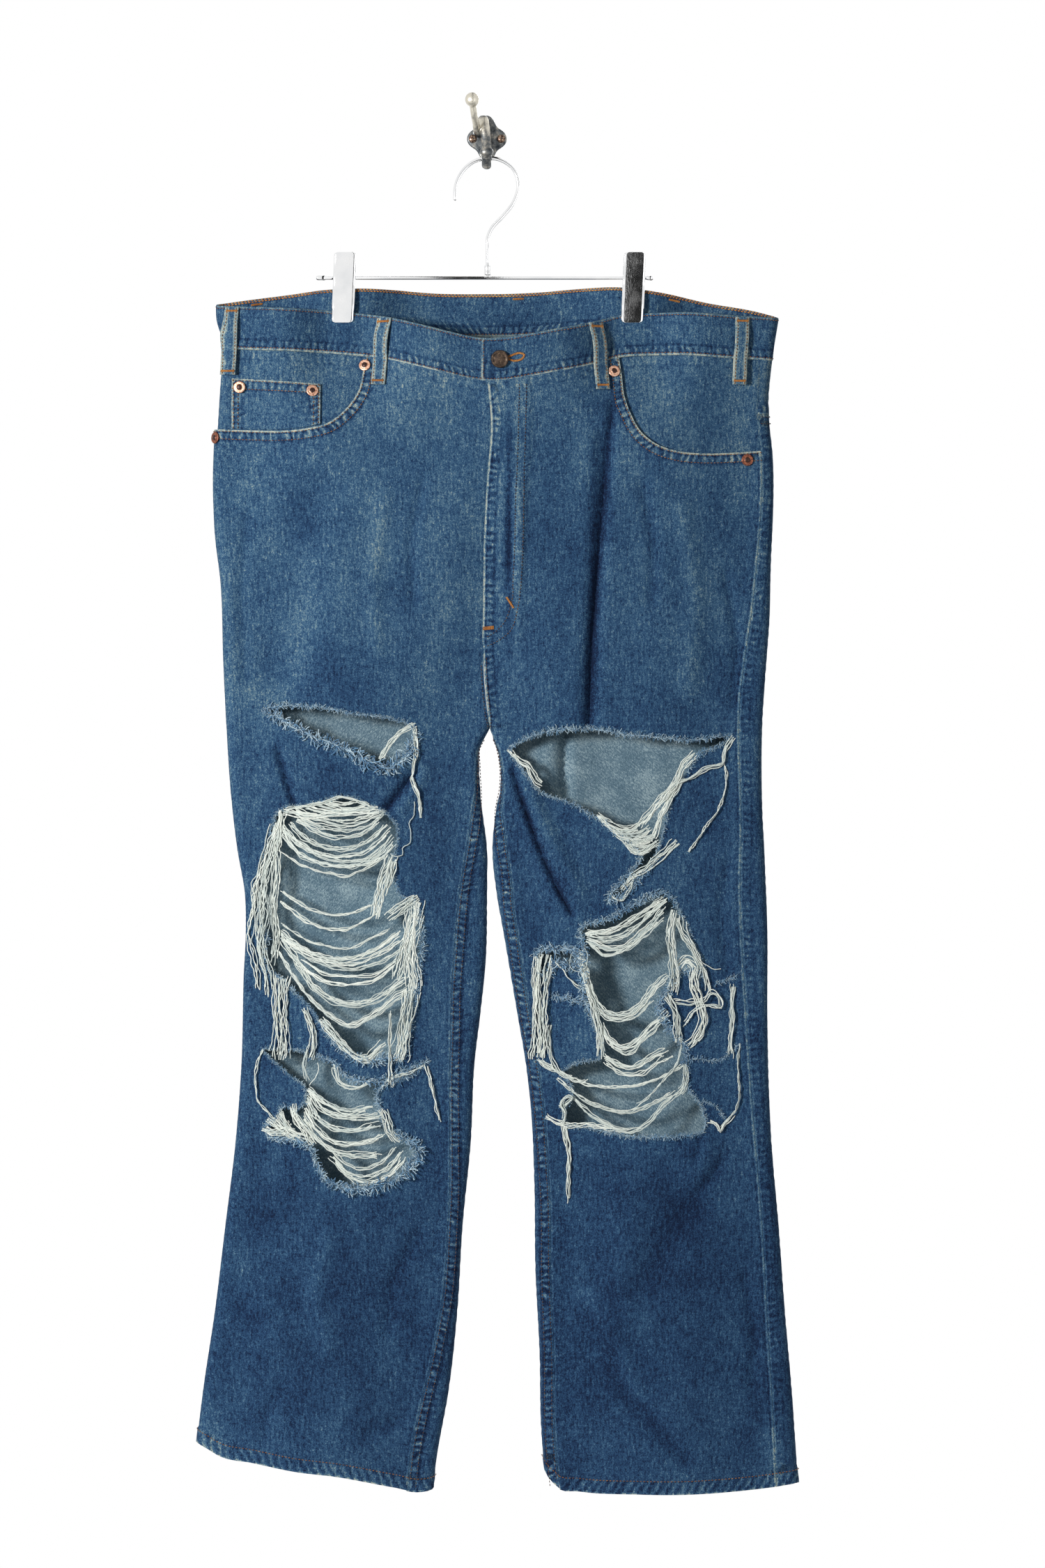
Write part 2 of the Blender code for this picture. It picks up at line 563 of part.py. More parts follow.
def band_stations():
    """Places round the waistband, from the end underneath to the end on top: leg, unrolled place, offset."""
    rows = [(LEFT, across, -LAP_STEP) for across in (LAP_END, 18.0, 7.0)]
    rows += [(RIGHT, across, -LAP_STEP) for across in (-1.0, 5.0, 12.0)]
    rows += [(RIGHT, across, -LAP_STEP * (1 - float(ease((across - 12) / 42)))) for across in (19.0, 26.0, 33.0, 40.0)]
    for leg in (RIGHT, LEFT):
        last = float(2 * leg.outer_limit(200) - leg.centre(200)) - 7
        places = waist_places(leg, 54.0 if leg is RIGHT else 12.0, last)
        run = [(leg, flat, 0.0) for flat in places]
        rows += run if leg is RIGHT else run[::-1]
    rows += [(RIGHT, across, 0.0) for across in (-1.0, LAP_EDGE)]
    return rows


def waistband():
    """The doubled band, one strip that laps over itself at the button."""
    upper, lower, faces = [], [], []
    levels = (0.0, 0.5, 1.0)
    stations = band_stations()
    for leg, flat, off in stations:
        top = band_top(leg, flat)
        for level in levels:
            down = top + level * BAND_HEIGHT
            upper.append(skin(leg, flat, down, off + BAND / 2))
            lower.append(skin(leg, flat, down, off - BAND / 2))
    rows = len(levels)
    for i in range(len(stations) - 1):
        for k in range(rows - 1):
            a, b = i * rows + k, (i + 1) * rows + k
            faces.append([a, b, b + 1, a + 1])
    return thicken("waistband", upper, lower, faces, DENIM_BLUE)


waistband()

LOOP_WIDTH = 14.0
LOOP_WALL = 2.0
LOOP_BOW = 2.6             # how far a loop stands off the band at its middle
LOOP_TAIL = 25.0           # length of a loop below the band


def belt_loop(name, leg, across_top, across_low, behind=False):
    """A narrow strip from the band's upper edge to just under its lower seam."""
    place = behind_place(leg, across_top, 200) if behind else across_top
    top = band_top(leg, place)
    stops = [(2, 0), (7, 0), (14, 0.7), (BAND_HEIGHT / 2, 1), (BAND_HEIGHT - 9, 0.7), (BAND_HEIGHT - 1, 0),
             (BAND_HEIGHT + 6, -0.16), (BAND_HEIGHT + LOOP_TAIL, -0.16)]
    edges = [LOOP_WIDTH * share for share in (-0.5, -0.17, 0.17, 0.5)]
    upper, lower, faces = [], [], []
    for run, bow in stops:
        down = top + run
        t = run / (BAND_HEIGHT + LOOP_TAIL)
        across = across_top + (across_low - across_top) * t
        rest = BAND / 2 + 2 * GAP + LOOP_WALL / 2 + LOOP_BOW * bow
        for edge in edges:
            flat = behind_place(leg, across + edge, down) if behind else across + edge
            upper.append(skin(leg, flat, down, rest + LOOP_WALL / 2))
            lower.append(skin(leg, flat, down, rest - LOOP_WALL / 2))
    for i in range(len(stops) - 1):
        for k in range(len(edges) - 1):
            a, b = len(edges) * i + k, len(edges) * (i + 1) + k
            faces.append([a, b, b + 1, a + 1])
    return thicken(name, upper, lower, faces, DENIM_BLUE)


belt_loop("belt_loop_side_right", RIGHT, 248, 252)
belt_loop("belt_loop_front_right", RIGHT, 98, 105)
belt_loop("belt_loop_front_left", LEFT, 105, 113)
belt_loop("belt_loop_side_left", LEFT, 249, 246)
belt_loop("belt_loop_back_right", RIGHT, 215, 217, behind=True)
belt_loop("belt_loop_back_middle", LEFT, 24, 24, behind=True)
belt_loop("belt_loop_back_left", LEFT, 176, 178, behind=True)


# ---------------------------------------------------------------- button, rivets and screws

def frame_on(leg, flat, down, off):
    """Axes of a small fitting: its Z points out of the cloth."""
    place = skin(leg, flat, down, off)
    out = Vector(place - skin_mid(leg, flat, down)).normalized() if off else Vector((0, -1, 0))
    up = Vector((0, 0, 1))
    side = up.cross(out).normalized()
    turn = Matrix((side, out.cross(side), out)).transposed().to_4x4()
    return Matrix.Translation(Vector(place) * MM) @ turn


def turned(name, profile, frame, look, sides=20):
    """Solid of revolution from a profile of radius and height that starts and ends on the axis."""
    points, faces = [(0, 0, profile[0][1])], []
    rings = [row for row in profile if row[0] > 0]
    for radius, height in rings:
        for k in range(sides):
            angle = 2 * math.pi * k / sides
            points.append((radius * math.cos(angle), radius * math.sin(angle), height))
    points.append((0, 0, profile[-1][1]))
    last = len(points) - 1
    for k in range(sides):
        nxt = (k + 1) % sides
        faces.append((0, 1 + nxt, 1 + k))
        for ring in range(len(rings) - 1):
            a, b = 1 + ring * sides, 1 + (ring + 1) * sides
            faces.append((a + k, a + nxt, b + nxt, b + k))
        end = 1 + (len(rings) - 1) * sides
        faces.append((end + k, end + nxt, last))
    mesh = bpy.data.meshes.new(name)
    mesh.from_pydata([frame @ (Vector(p) * MM) for p in points], [], faces)
    return keep(name, mesh, look, True)


BUTTON = [(0, 0), (3.2, 0), (3.2, 1.6), (7.4, 1.6), (8.6, 2.6), (8.4, 3.6), (7.2, 4.3), (6.2, 3.9), (0, 4.2)]
turned("shank_button", BUTTON, frame_on(LEFT, 13, 222, BAND / 2 + GAP), DARK_STEEL, 28)

RIVET = [(0, 0), (5.4, 0), (5.8, 0.5), (5.2, 1.2), (3.2, 1.3), (2.2, 2.0), (0, 2.3)]
RIVETS = [
    ("rivet_mouth_right", RIGHT, 118.5, 227, 0.8),
    ("rivet_coin_outer", RIGHT, 241, 248, 0.9),
    ("rivet_coin_inner", RIGHT, 170, 252, 0.0),
    ("rivet_mouth_left", LEFT, 124, 233, 0.9),
    ("rivet_side_left", LEFT, 254, 319, 0.8),
    ("rivet_side_right", RIGHT, 265, 297, 0.3),
]
for label, leg, flat, down, layer in RIVETS:
    turned(label, RIVET, frame_on(leg, flat, down, layer + DENIM / 2 + GAP), COPPER)


# ---------------------------------------------------------------- rods: hanger, prongs and yarn bundles

def smooth_path(points, step):
    """Evenly read points of a smooth curve through the given ones."""
    points = np.array(points, float)
    keys = np.concatenate([[0], np.cumsum(np.linalg.norm(np.diff(points, axis=0), axis=1))])
    at = np.linspace(0, keys[-1], max(3, round(keys[-1] / step) + 1))
    return np.stack([curve(list(zip(keys, points[:, k])), at) for k in range(3)], axis=1), at / keys[-1]


def tube(name, points, radii, look, sides=12):
    """Round rod through the points, with a radius at each and flat ends."""
    points = np.array(points, float)
    runs = np.gradient(points, axis=0)
    side = Vector((0, 1, 0)) if abs(Vector(runs[0]).normalized().y) < 0.9 else Vector((1, 0, 0))
    verts, faces = [], []
    for place, run, radius in zip(points, runs, radii):
        run = Vector(run).normalized()
        side = (side - run * side.dot(run)).normalized()
        other = run.cross(side)
        for k in range(sides):
            angle = 2 * math.pi * k / sides
            verts.append((Vector(place) + (side * math.cos(angle) + other * math.sin(angle)) * radius) * MM)
    for i in range(len(points) - 1):
        for k in range(sides):
            nxt = (k + 1) % sides
            faces.append((i * sides + k, i * sides + nxt, (i + 1) * sides + nxt, (i + 1) * sides + k))
    faces.append(tuple(reversed(range(sides))))
    faces.append(tuple(range(len(verts) - sides, len(verts))))
    mesh = bpy.data.meshes.new(name)
    mesh.from_pydata(verts, [], faces)
    shaped = bmesh.new()
    shaped.from_mesh(mesh)
    bmesh.ops.recalc_face_normals(shaped, faces=shaped.faces[:])
    shaped.to_mesh(mesh)
    shaped.free()
    return keep(name, mesh, look, True)


BAR_DOWN = 140.5
BAR_R = 1.6
WIRE_R = 2.0
bar = [(-167, 2.4), (-158, 2.4), (-157, BAR_R), (156, BAR_R), (157, 2.4), (163, 2.4)]
tube("hanger_bar", [(x, MID_Y, -BAR_DOWN) for x, _ in bar], [r for _, r in bar], CHROME, 16)

FERRULE_FOOT = BAR_DOWN - BAR_R - GAP
HOOK_ROUTE = [(1, 127), (1, 112), (1.2, 101), (5, 92), (15, 81), (26, 67), (31, 50), (26, 34), (14, 25.5), (0, 23.5),
              (-13, 27), (-24, 37), (-30, 50), (-31, 63)]
wire, _ = smooth_path([(x, MID_Y, -d) for x, d in HOOK_ROUTE], 5.0)
foot = [(1, MID_Y, -FERRULE_FOOT), (1, MID_Y, -128.5), (1, MID_Y, -128.0)]
tube("hanger_hook", [*foot, *wire], [3.6, 3.6, WIRE_R] + [WIRE_R] * len(wire), CHROME, 14)

CLIP_WIDTH = 20.6
CLIP_WALL = 1.2
CLIP_TOP = 116.0
CLIP_LIP = 184.5
# Middle of the front jaw's sheet: distance from the middle plane, down.
JAW = [(9.5, CLIP_TOP), (8.2, 128), (5.6, 138), (4.6, 146), (5.6, 158), (6.4, 170), (5.0, 179), (4.5, CLIP_LIP)]


def clip_jaw(name, centre, towards, look):
    """Bent sheet jaw; towards is -1 for the front one and +1 for the back one."""
    upper, lower, faces = [], [], []
    rows = len(JAW)
    for edge in (-CLIP_WIDTH / 2, CLIP_WIDTH / 2):
        for away, down in JAW:
            lean = (down - BAR_DOWN) * -0.045
            upper.append((centre + edge + lean, MID_Y + towards * (away + CLIP_WALL / 2), -down))
            lower.append((centre + edge + lean, MID_Y + towards * (away - CLIP_WALL / 2), -down))
    for k in range(rows - 1):
        faces.append([k, k + 1, rows + k + 1, rows + k])
    return thicken(name, upper, lower, faces, look, False)


for label, centre in (("right", -RIGHT.clip), ("left", LEFT.clip)):
    clip_jaw(f"clip_{label}_front", centre, -1, CHROME)
    clip_jaw(f"clip_{label}_back", centre, 1, CHROME)
    coil = [(centre + 8 * k, MID_Y, -BAR_DOWN) for k in (-1, 1)]
    spring = tube(f"clip_{label}_spring", coil, [4.3, 4.3], DARK_STEEL, 16)
    hole = tube(f"cut_{label}_spring", [(p[0] + (p[0] - centre), *p[1:]) for p in coil],
                [BAR_R + GAP] * 2, DARK_STEEL, 16)
    hole.hide_render = True
    hole.display_type = "WIRE"
    cut = spring.modifiers.new("bore", "BOOLEAN")
    cut.object = hole
    cut.operation = "DIFFERENCE"


# ---------------------------------------------------------------- wall hook: plate, prongs and screws

PLATE_WALL = 3.5
SCREW_ACROSS = 14.0


def plate_outline(count=48):
    """Four-lobed plate edge."""
    rows = []
    for k in range(count):
        angle = 2 * math.pi * k / count
        radius = 18.0 + 3.6 * math.cos(4 * angle)
        rows.append((radius * math.cos(angle), radius * math.sin(angle) * 1.06))
    return rows


def wall_plate():
    """Lobed plate with its back face on the wall plane and two screw holes."""
    edge = plate_outline()
    holes = [[(x + 2.3 * math.cos(a), 2.3 * math.sin(a)) for a in np.linspace(0, 2 * math.pi, 13)[:-1]]
             for x in (-SCREW_ACROSS, SCREW_ACROSS)]
    points, faces = triangulate(edge, holes, [(0, 0)], 1.0)
    front = [(x, -PLATE_WALL, z) for x, z in points]
    back = [(x, 0.0, z) for x, z in points]
    return thicken("wall_hook", front, back, faces, CAST_IRON, False)


PRONG_R = 3.8
UPPER_R = 3.2
ROOT_FLARE = 1.4           # extra radius of the lower prong where it leaves the plate
SADDLE = 23.5 + WIRE_R + GAP + PRONG_R
LOWER_PRONG = [(0, -3.0, 13), (0, -5.0, 2), (0, -9.0, -9), (0, -18.0, -20), (0, -32.0, -28.3), (0, -45.0, -SADDLE),
               (0, -52.0, -26.5), (0, -56.0, -22.5)]
UPPER_PRONG = [(-3, -3.0, 8), (-7, -9.0, 14), (-10.5, -19.0, 20), (-13, -28.0, 27), (-13.8, -32.0, 33)]
plate = wall_plate()
# Each prong: name, route, radius, extra radius at its root, radius of the ball at its tip.
PRONGS = [("lower", LOWER_PRONG, PRONG_R, ROOT_FLARE, 5.2), ("upper", UPPER_PRONG, UPPER_R, 0.0, 6.6)]
for label, route, rod, flare, tip in PRONGS:
    path, along = smooth_path(route, 3.0)
    run = (path[-1] - path[-2]) / np.linalg.norm(path[-1] - path[-2])
    latitudes = (-0.9, -0.5, 0.0, 0.5, 0.9, 1.3)
    ball = [path[-1] + run * tip * (1 + math.sin(angle)) for angle in latitudes]
    ball_radii = [tip * math.cos(angle) for angle in latitudes]
    radii = [rod + flare * max(0.0, 1 - 2.2 * t) for t in along]
    prong = tube(f"prong_{label}", [*path, *ball], [*radii, *ball_radii], CAST_IRON, 16)
    prong.hide_render = True
    prong.display_type = "WIRE"
    join = plate.modifiers.new(label, "BOOLEAN")
    join.object = prong
    join.operation = "UNION"

SCREW = [(0, -3.2), (1.9, -3.2), (1.9, 0.0), (4.1, 0.0), (3.9, 1.0), (2.6, 1.9), (0, 2.2)]
for label, x in (("right", -SCREW_ACROSS), ("left", SCREW_ACROSS)):
    seat = Matrix.Translation((x * MM, -(PLATE_WALL + GAP) * MM, 0)) @ Matrix.Rotation(math.pi / 2, 4, "X")
    turned(f"wall_screw_{label}", SCREW, seat, BRASS)


# ---------------------------------------------------------------- bundles of bared yarn in the rips

FACE = DENIM / 2 + 2 * GAP # height of a panel's face above the middle of its wall

# Each bundle: name, leg, radius, lift over the hole, then its run as across, down.
BUNDLES = [
    ("yarns_thigh_right", RIGHT, 2.0, 0, [(72, 568), (69, 598), (72, 622), (69, 639), (65, 667)]),
    ("yarns_knee_right_1", RIGHT, 2.6, 0, [(178, 652), (155, 672), (137, 681), (114, 674), (90, 655)]),
    ("yarns_knee_right_2", RIGHT, 2.0, 0, [(219, 690), (182, 707), (141, 713), (114, 706), (83, 682)]),
    ("yarns_knee_right_3", RIGHT, 2.0, 0, [(229, 745), (172, 770), (141, 777), (104, 760), (82, 733)]),
    ("yarns_knee_right_4", RIGHT, 2.0, 0, [(225, 778), (189, 812), (145, 829), (104, 816), (60, 775)]),
    ("yarns_knee_right_5", RIGHT, 2.4, 0, [(217, 800), (196, 832), (165, 857), (131, 868), (104, 855), (60, 812)]),
    ("yarns_knee_right_6", RIGHT, 3.0, 6, [(205, 834), (201, 850), (200, 880), (198, 905)]),
    ("yarns_knee_right_7", RIGHT, 3.0, 7, [(60, 828), (76, 842), (84, 872), (82, 905), (92, 931)]),
    ("yarns_shin_right_1", RIGHT, 2.0, 0, [(183, 935), (148, 950), (125, 961), (110, 957), (96, 948)]),
    ("yarns_shin_right_2", RIGHT, 2.0, 0, [(182, 944), (152, 970), (120, 994), (95, 988), (77, 972)]),
    ("yarns_shin_right_3", RIGHT, 2.0, 0, [(173, 999), (150, 1008), (120, 1017), (92, 1008), (68, 985)]),
    ("yarns_thigh_left_1", LEFT, 2.6, 0, [(217, 591), (182, 635), (166, 654), (150, 668), (121, 670)]),
    ("yarns_thigh_left_2", LEFT, 2.0, 3, [(243, 586), (233, 606), (214, 618), (199, 626), (185, 640)]),
    ("yarns_thigh_left_3", LEFT, 3.0, 0, [(121, 685), (137, 699), (150, 702), (158, 694), (172, 680)]),
    ("yarns_knee_left_1", LEFT, 2.4, 0, [(87, 777), (112, 788), (140, 779), (184, 749)]),
    ("yarns_knee_left_2", LEFT, 3.2, 0, [(89, 803), (104, 842), (131, 862), (158, 852), (176, 826), (190, 812)]),
    ("yarns_knee_left_3", LEFT, 3.4, 5, [(54, 792), (55, 820), (55, 860), (54, 907)]),
    ("yarns_knee_left_4", LEFT, 3.2, 5, [(206, 780), (213, 812), (216, 849), (199, 890)]),
    ("yarns_shin_left_1", LEFT, 2.4, 0, [(66, 912), (92, 928), (124, 932), (158, 926), (201, 909)]),
    ("yarns_shin_left_2", LEFT, 2.4, 0, [(78, 934), (97, 947), (131, 954), (165, 945), (202, 926)]),
    ("yarns_shin_left_3", LEFT, 2.0, 0, [(73, 962), (117, 966), (141, 969), (168, 962), (212, 951)]),
    ("yarns_shin_left_4", LEFT, 1.6, 0, [(246, 887), (245, 911), (246, 945), (236, 962), (226, 977)]),
]
for label, leg, radius, lift, route in BUNDLES:
    path, along = smooth_path([(across, 0.0, down) for across, down in route], 9.0)
    height = FACE + radius + lift * np.sin(math.pi * along)
    tube(label, skin(leg, path[:, 0], path[:, 2], height), [radius] * len(along), YARN_WHITE, BUNDLE_SIDES)
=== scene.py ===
"""Ripped straight-leg jeans on a clip hanger and a wall hook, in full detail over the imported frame.

Units are metres in the frame: +Z up, +X to the wearer's left, +Y into the wall.  Places on the cloth are in
millimetres as (across, down): across is the distance out from the garment's centre line, and down is the
depth under the middle of the wall hook.  An unrolled place counts on round the side edge and over the back.
"""
import math
import random

import bmesh
import bpy
import numpy as np
from mathutils import Matrix, Vector
from mathutils.geometry import delaunay_2d_cdt


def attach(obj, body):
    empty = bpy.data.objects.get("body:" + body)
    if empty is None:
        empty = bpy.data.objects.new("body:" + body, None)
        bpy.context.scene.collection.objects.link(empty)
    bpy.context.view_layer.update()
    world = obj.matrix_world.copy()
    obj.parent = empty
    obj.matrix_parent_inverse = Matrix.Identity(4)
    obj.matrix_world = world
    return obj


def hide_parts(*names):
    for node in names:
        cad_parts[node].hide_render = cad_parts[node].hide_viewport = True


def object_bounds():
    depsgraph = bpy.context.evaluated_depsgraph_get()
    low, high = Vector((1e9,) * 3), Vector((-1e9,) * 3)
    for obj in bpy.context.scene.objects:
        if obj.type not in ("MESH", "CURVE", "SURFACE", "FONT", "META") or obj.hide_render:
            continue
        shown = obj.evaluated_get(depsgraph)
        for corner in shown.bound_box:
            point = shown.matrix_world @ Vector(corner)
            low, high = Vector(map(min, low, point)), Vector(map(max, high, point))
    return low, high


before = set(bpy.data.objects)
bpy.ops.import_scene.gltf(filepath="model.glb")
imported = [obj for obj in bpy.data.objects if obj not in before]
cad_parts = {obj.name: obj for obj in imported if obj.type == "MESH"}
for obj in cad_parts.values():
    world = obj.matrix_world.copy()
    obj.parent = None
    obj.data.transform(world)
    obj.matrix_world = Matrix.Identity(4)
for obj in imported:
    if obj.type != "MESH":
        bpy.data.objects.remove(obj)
cad_low, cad_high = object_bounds()
BODY = "root"
MM = 0.001


# ---- Camera: level, straight at the front, a little to the wearer's left of the hook and at thigh height.

EYE = (0.035, -6.0, -0.635)
LENS = 139.9


def put_in(name, data):
    """Object with its data, put in the scene."""
    made = bpy.data.objects.new(name, data)
    bpy.context.collection.objects.link(made)
    return made


camera_data = bpy.data.cameras.new("camera")
camera_data.lens = LENS
camera_data.sensor_width = 36.0
camera = put_in("camera", camera_data)
camera.location = EYE
camera.rotation_euler = (math.pi / 2, 0.0, 0.0)
bpy.context.scene.camera = camera


# ---- Studio: a white surround, three softboxes and a plain pale floor well below the hems.
# Polished metal mirrors a white room, with one tall dark doorway to the front and a little to the right.

SURROUND = 0.17            # soft light from all round
MIRRORED = 1.15            # brightness of the room in polished metal
DOORWAY = 0.115            # sideways place of the doorway's middle, as seen from the object
DOORWAY_EDGES = (0.088, 0.102)
DOORWAY_LIGHT = 0.03       # brightness of the doorway itself
FLOOR_DROP = 0.30          # clearance between the hems and the floor
FLOOR_SIZE = (3.4, 1.7)


class Nodes:
    """A node tree, with short calls that add a node and feed its inputs."""

    def __init__(self, tree):
        self.tree = tree

    def feed(self, socket, value):
        """Link another socket, or keep a plain value."""
        if isinstance(value, bpy.types.NodeSocket):
            self.tree.links.new(value, socket)
        else:
            socket.default_value = value

    def add(self, kind, settings=None, values=(), **named):
        """New node; values feed its inputs in order, and named ones by their label with _ for a space."""
        made = self.tree.nodes.new(kind if "Node" in kind else f"GeometryNode{kind}")
        for key, value in (settings or {}).items():
            setattr(made, key, value)
        for socket, value in zip(made.inputs, values):
            self.feed(socket, value)
        for key, value in named.items():
            label = key.replace("_", " ")
            self.feed(next(s for s in made.inputs if s.name == label and s.enabled), value)
        return made

    def node(self, kind, settings=None, values=(), **named):
        """The first output of a new node."""
        return next(s for s in self.add(kind, settings, values, **named).outputs if s.enabled)


bpy.context.scene.view_settings.view_transform = "Standard"
world = bpy.data.worlds.new("studio")
bpy.context.scene.world = world
world.use_nodes = True
surround = Nodes(world.node_tree)
seen_white = surround.node("ShaderNodeBackground", values=[(1.0, 1.0, 1.0, 1.0), 1.0])
dome = surround.tree.nodes["Background"]
surround.feed(dome.inputs["Color"], (0.93, 0.97, 1.0, 1.0))
surround.feed(dome.inputs["Strength"], SURROUND)
sideways = surround.node("ShaderNodeSeparateXYZ", values=[surround.node("ShaderNodeTexCoord")])
from_door = surround.node("ShaderNodeMath", {"operation": "SUBTRACT"}, [sideways, DOORWAY])
either_side = surround.node("ShaderNodeMath", {"operation": "ABSOLUTE"}, [from_door])
room_span = [either_side, *DOORWAY_EDGES, DOORWAY_LIGHT, MIRRORED]
room_level = surround.node("ShaderNodeMapRange", values=room_span)
room = surround.node("ShaderNodeBackground", Strength=room_level)
ray = surround.add("ShaderNodeLightPath").outputs
soft_or_room = surround.node("ShaderNodeMixShader", values=[ray["Is Glossy Ray"], dome.outputs[0], room])
either = surround.node("ShaderNodeMixShader", values=[ray["Is Camera Ray"], soft_or_room, seen_white])
surround.feed(surround.tree.nodes["World Output"].inputs["Surface"], either)


def softbox(name, place, aim, size, power):
    """Square area light at a place, turned to an aim."""
    light = bpy.data.lights.new(name, "AREA")
    light.size = size
    light.energy = power
    holder = put_in(name, light)
    holder.location = place
    holder.rotation_euler = (Vector(aim) - Vector(place)).to_track_quat("-Z", "Y").to_euler()


MIDDLE = (0.0, 0.0, -0.70)
softbox("key", (-1.8, -2.3, -0.15), MIDDLE, 0.5, 80.0)
softbox("fill", (1.9, -2.4, -0.7), MIDDLE, 1.8, 8.0)
softbox("back", (0.9, 2.6, 0.6), MIDDLE, 1.6, 46.0)


class Finish(Nodes):
    """A material, with short calls that add its nodes."""

    def __init__(self, name, roughness, metallic=0.0, sheen=0.0):
        self.look = bpy.data.materials.new(name)
        self.look.use_nodes = True
        super().__init__(self.look.node_tree)
        self.shader = self.tree.nodes["Principled BSDF"].inputs
        self.shader["Roughness"].default_value = roughness
        self.shader["Metallic"].default_value = metallic
        self.shader["Sheen Weight"].default_value = sheen
        self.shader["Specular IOR Level"].default_value = 0.5 if metallic else 0.12

    def place(self):
        return self.add("ShaderNodeTexCoord").outputs["Object"]

    def attribute(self, name, output="Fac"):
        return self.add("ShaderNodeAttribute", {"attribute_name": name}).outputs[output]

    def stretch(self, vector, scale):
        return self.node("ShaderNodeMapping", Vector=vector, Scale=scale)

    def rotated(self, vector, angle):
        return self.node("ShaderNodeMapping", Vector=vector, Rotation=(0.0, 0.0, angle))

    def part(self, vector, axis):
        """One of a place's three numbers."""
        return self.add("ShaderNodeSeparateXYZ", values=[vector]).outputs[axis]

    def noise(self, vector, scale=1.0, detail=2.0, roughness=0.5):
        return self.node("ShaderNodeTexNoise", Vector=vector, Scale=scale, Detail=detail, Roughness=roughness)

    def sum(self, kind, *values):
        """Math node: ADD, SUBTRACT, SINE and so on."""
        return self.node("ShaderNodeMath", {"operation": kind}, values)

    def times(self, a, b, plus=0.0):
        """Product of two values, with a third one added."""
        return self.sum("MULTIPLY_ADD", a, b, plus)

    def span(self, value, low, high, to_low=0.0, to_high=1.0):
        """Smooth step of a value between two limits."""
        settings = {"interpolation_type": "SMOOTHSTEP"}
        return self.node("ShaderNodeMapRange", settings, [value, low, high, to_low, to_high])

    def ramp(self, value, stops):
        """Colour ramp from rows of place and linear colour."""
        made = self.add("ShaderNodeValToRGB", values=[value])
        bar = made.color_ramp
        while len(bar.elements) < len(stops):
            bar.elements.new(0.5)
        for element, (place, colour) in zip(bar.elements, stops):
            element.position = place
            element.color = (*colour, 1.0)
        return made.outputs["Color"]

    def blend(self, amount, under, over):
        """Mix of a coloured socket and a plain colour."""
        made = self.add("ShaderNodeMix", {"data_type": "RGBA"})
        self.feed(made.inputs["Factor"], amount)
        self.feed(made.inputs[6], under)
        self.feed(made.inputs[7], (*over, 1.0))
        return made.outputs[2]

    def colour(self, value):
        self.feed(self.shader["Base Color"], value)

    def bump(self, height, strength=1.0):
        """Relief from a height in millimetres."""
        relief = self.node("ShaderNodeBump", Strength=strength, Distance=MM, Height=height)
        self.feed(self.shader["Normal"], relief)


def paint(red, green, blue):
    """Linear colour from the usual 0 to 255 values."""
    shares = [value / 255 for value in (red, green, blue)]
    return tuple(v / 12.92 if v <= 0.04 else ((v + 0.055) / 1.055) ** 2.4 for v in shares)


def shell(name, mesh, look):
    """Smoothly shaded object from a finished mesh."""
    mesh.materials.append(look)
    mesh.shade_smooth()
    return put_in(name, mesh)


floor_finish = Finish("pale_floor", 0.85)
floor_cloud = floor_finish.noise(floor_finish.place(), 1.2, 3.0)
floor_finish.colour(floor_finish.ramp(floor_cloud, [(0.0, (0.82, 0.82, 0.81)), (1.0, (0.88, 0.88, 0.87))]))
floor_level = cad_low.z - FLOOR_DROP
half_width, half_depth = FLOOR_SIZE[0] / 2, FLOOR_SIZE[1] / 2
floor_mesh = bpy.data.meshes.new("floor")
floor_corners = [(-half_width, -half_depth), (half_width, -half_depth), (half_width, half_depth),
                 (-half_width, half_depth)]
floor_mesh.from_pydata([(x, y, floor_level) for x, y in floor_corners], [], [(0, 1, 2, 3)])
floor = shell("floor", floor_mesh, floor_finish.look)


# ---- Wall hook: one small casting, a four-lobed plate with an upper and a lower ball-ended prong.
# It is dark bronzed iron, rubbed bright on the upper ball; the top and front of the lower prong's root are
# paler, partly rubbed wear and partly a painted highlight.

PLATE_WALL = 3.5
SCREW_ACROSS = 14.0
WIRE_R = 2.0
HOOK_TOP = 23.5            # depth of the middle of the hanger's wire where it hangs
GAP = 0.3
PRONG_R = 3.8
SADDLE = HOOK_TOP + WIRE_R + GAP + PRONG_R
PRONG_BROAD = 1.28         # breadth of the lower prong over its thickness
# Each prong: radius, extra radius at its root, ball radius, then its run as x, y, z.
PRONGS = [
    (PRONG_R, 0.3, 5.2, [(-3, -3.0, 19.5), (-2.6, -7.0, 17), (-1.5, -11.0, 8), (-0.5, -13.0, -2),
                         (0, -16.0, -11), (0, -21.0, -20), (0, -32.0, -28.3), (0, -45.0, -SADDLE),
                         (0, -52.0, -26.5), (0, -56.0, -22.5)]),
    (3.4, 0.8, 7.0, [(-7.5, -2.5, 5), (-9.5, -9.0, 8), (-10.8, -19.0, 14), (-12.4, -28.0, 22),
                     (-13.4, -32.0, 29)]),
]


def curve(rows, at):
    """Smooth value at each place through the rows of a two-column table."""
    keys = np.array([row[0] for row in rows], float)
    values = np.array([row[1] for row in rows], float)
    slopes = np.gradient(values, keys)
    at = np.clip(np.asarray(at, float), keys[0], keys[-1])
    i = np.clip(np.searchsorted(keys, at) - 1, 0, len(keys) - 2)
    step = keys[i + 1] - keys[i]
    t = (at - keys[i]) / step
    return ((2 * t**3 - 3 * t**2 + 1) * values[i] + (t**3 - 2 * t**2 + t) * step * slopes[i]
            + (3 * t**2 - 2 * t**3) * values[i + 1] + (t**3 - t**2) * step * slopes[i + 1])


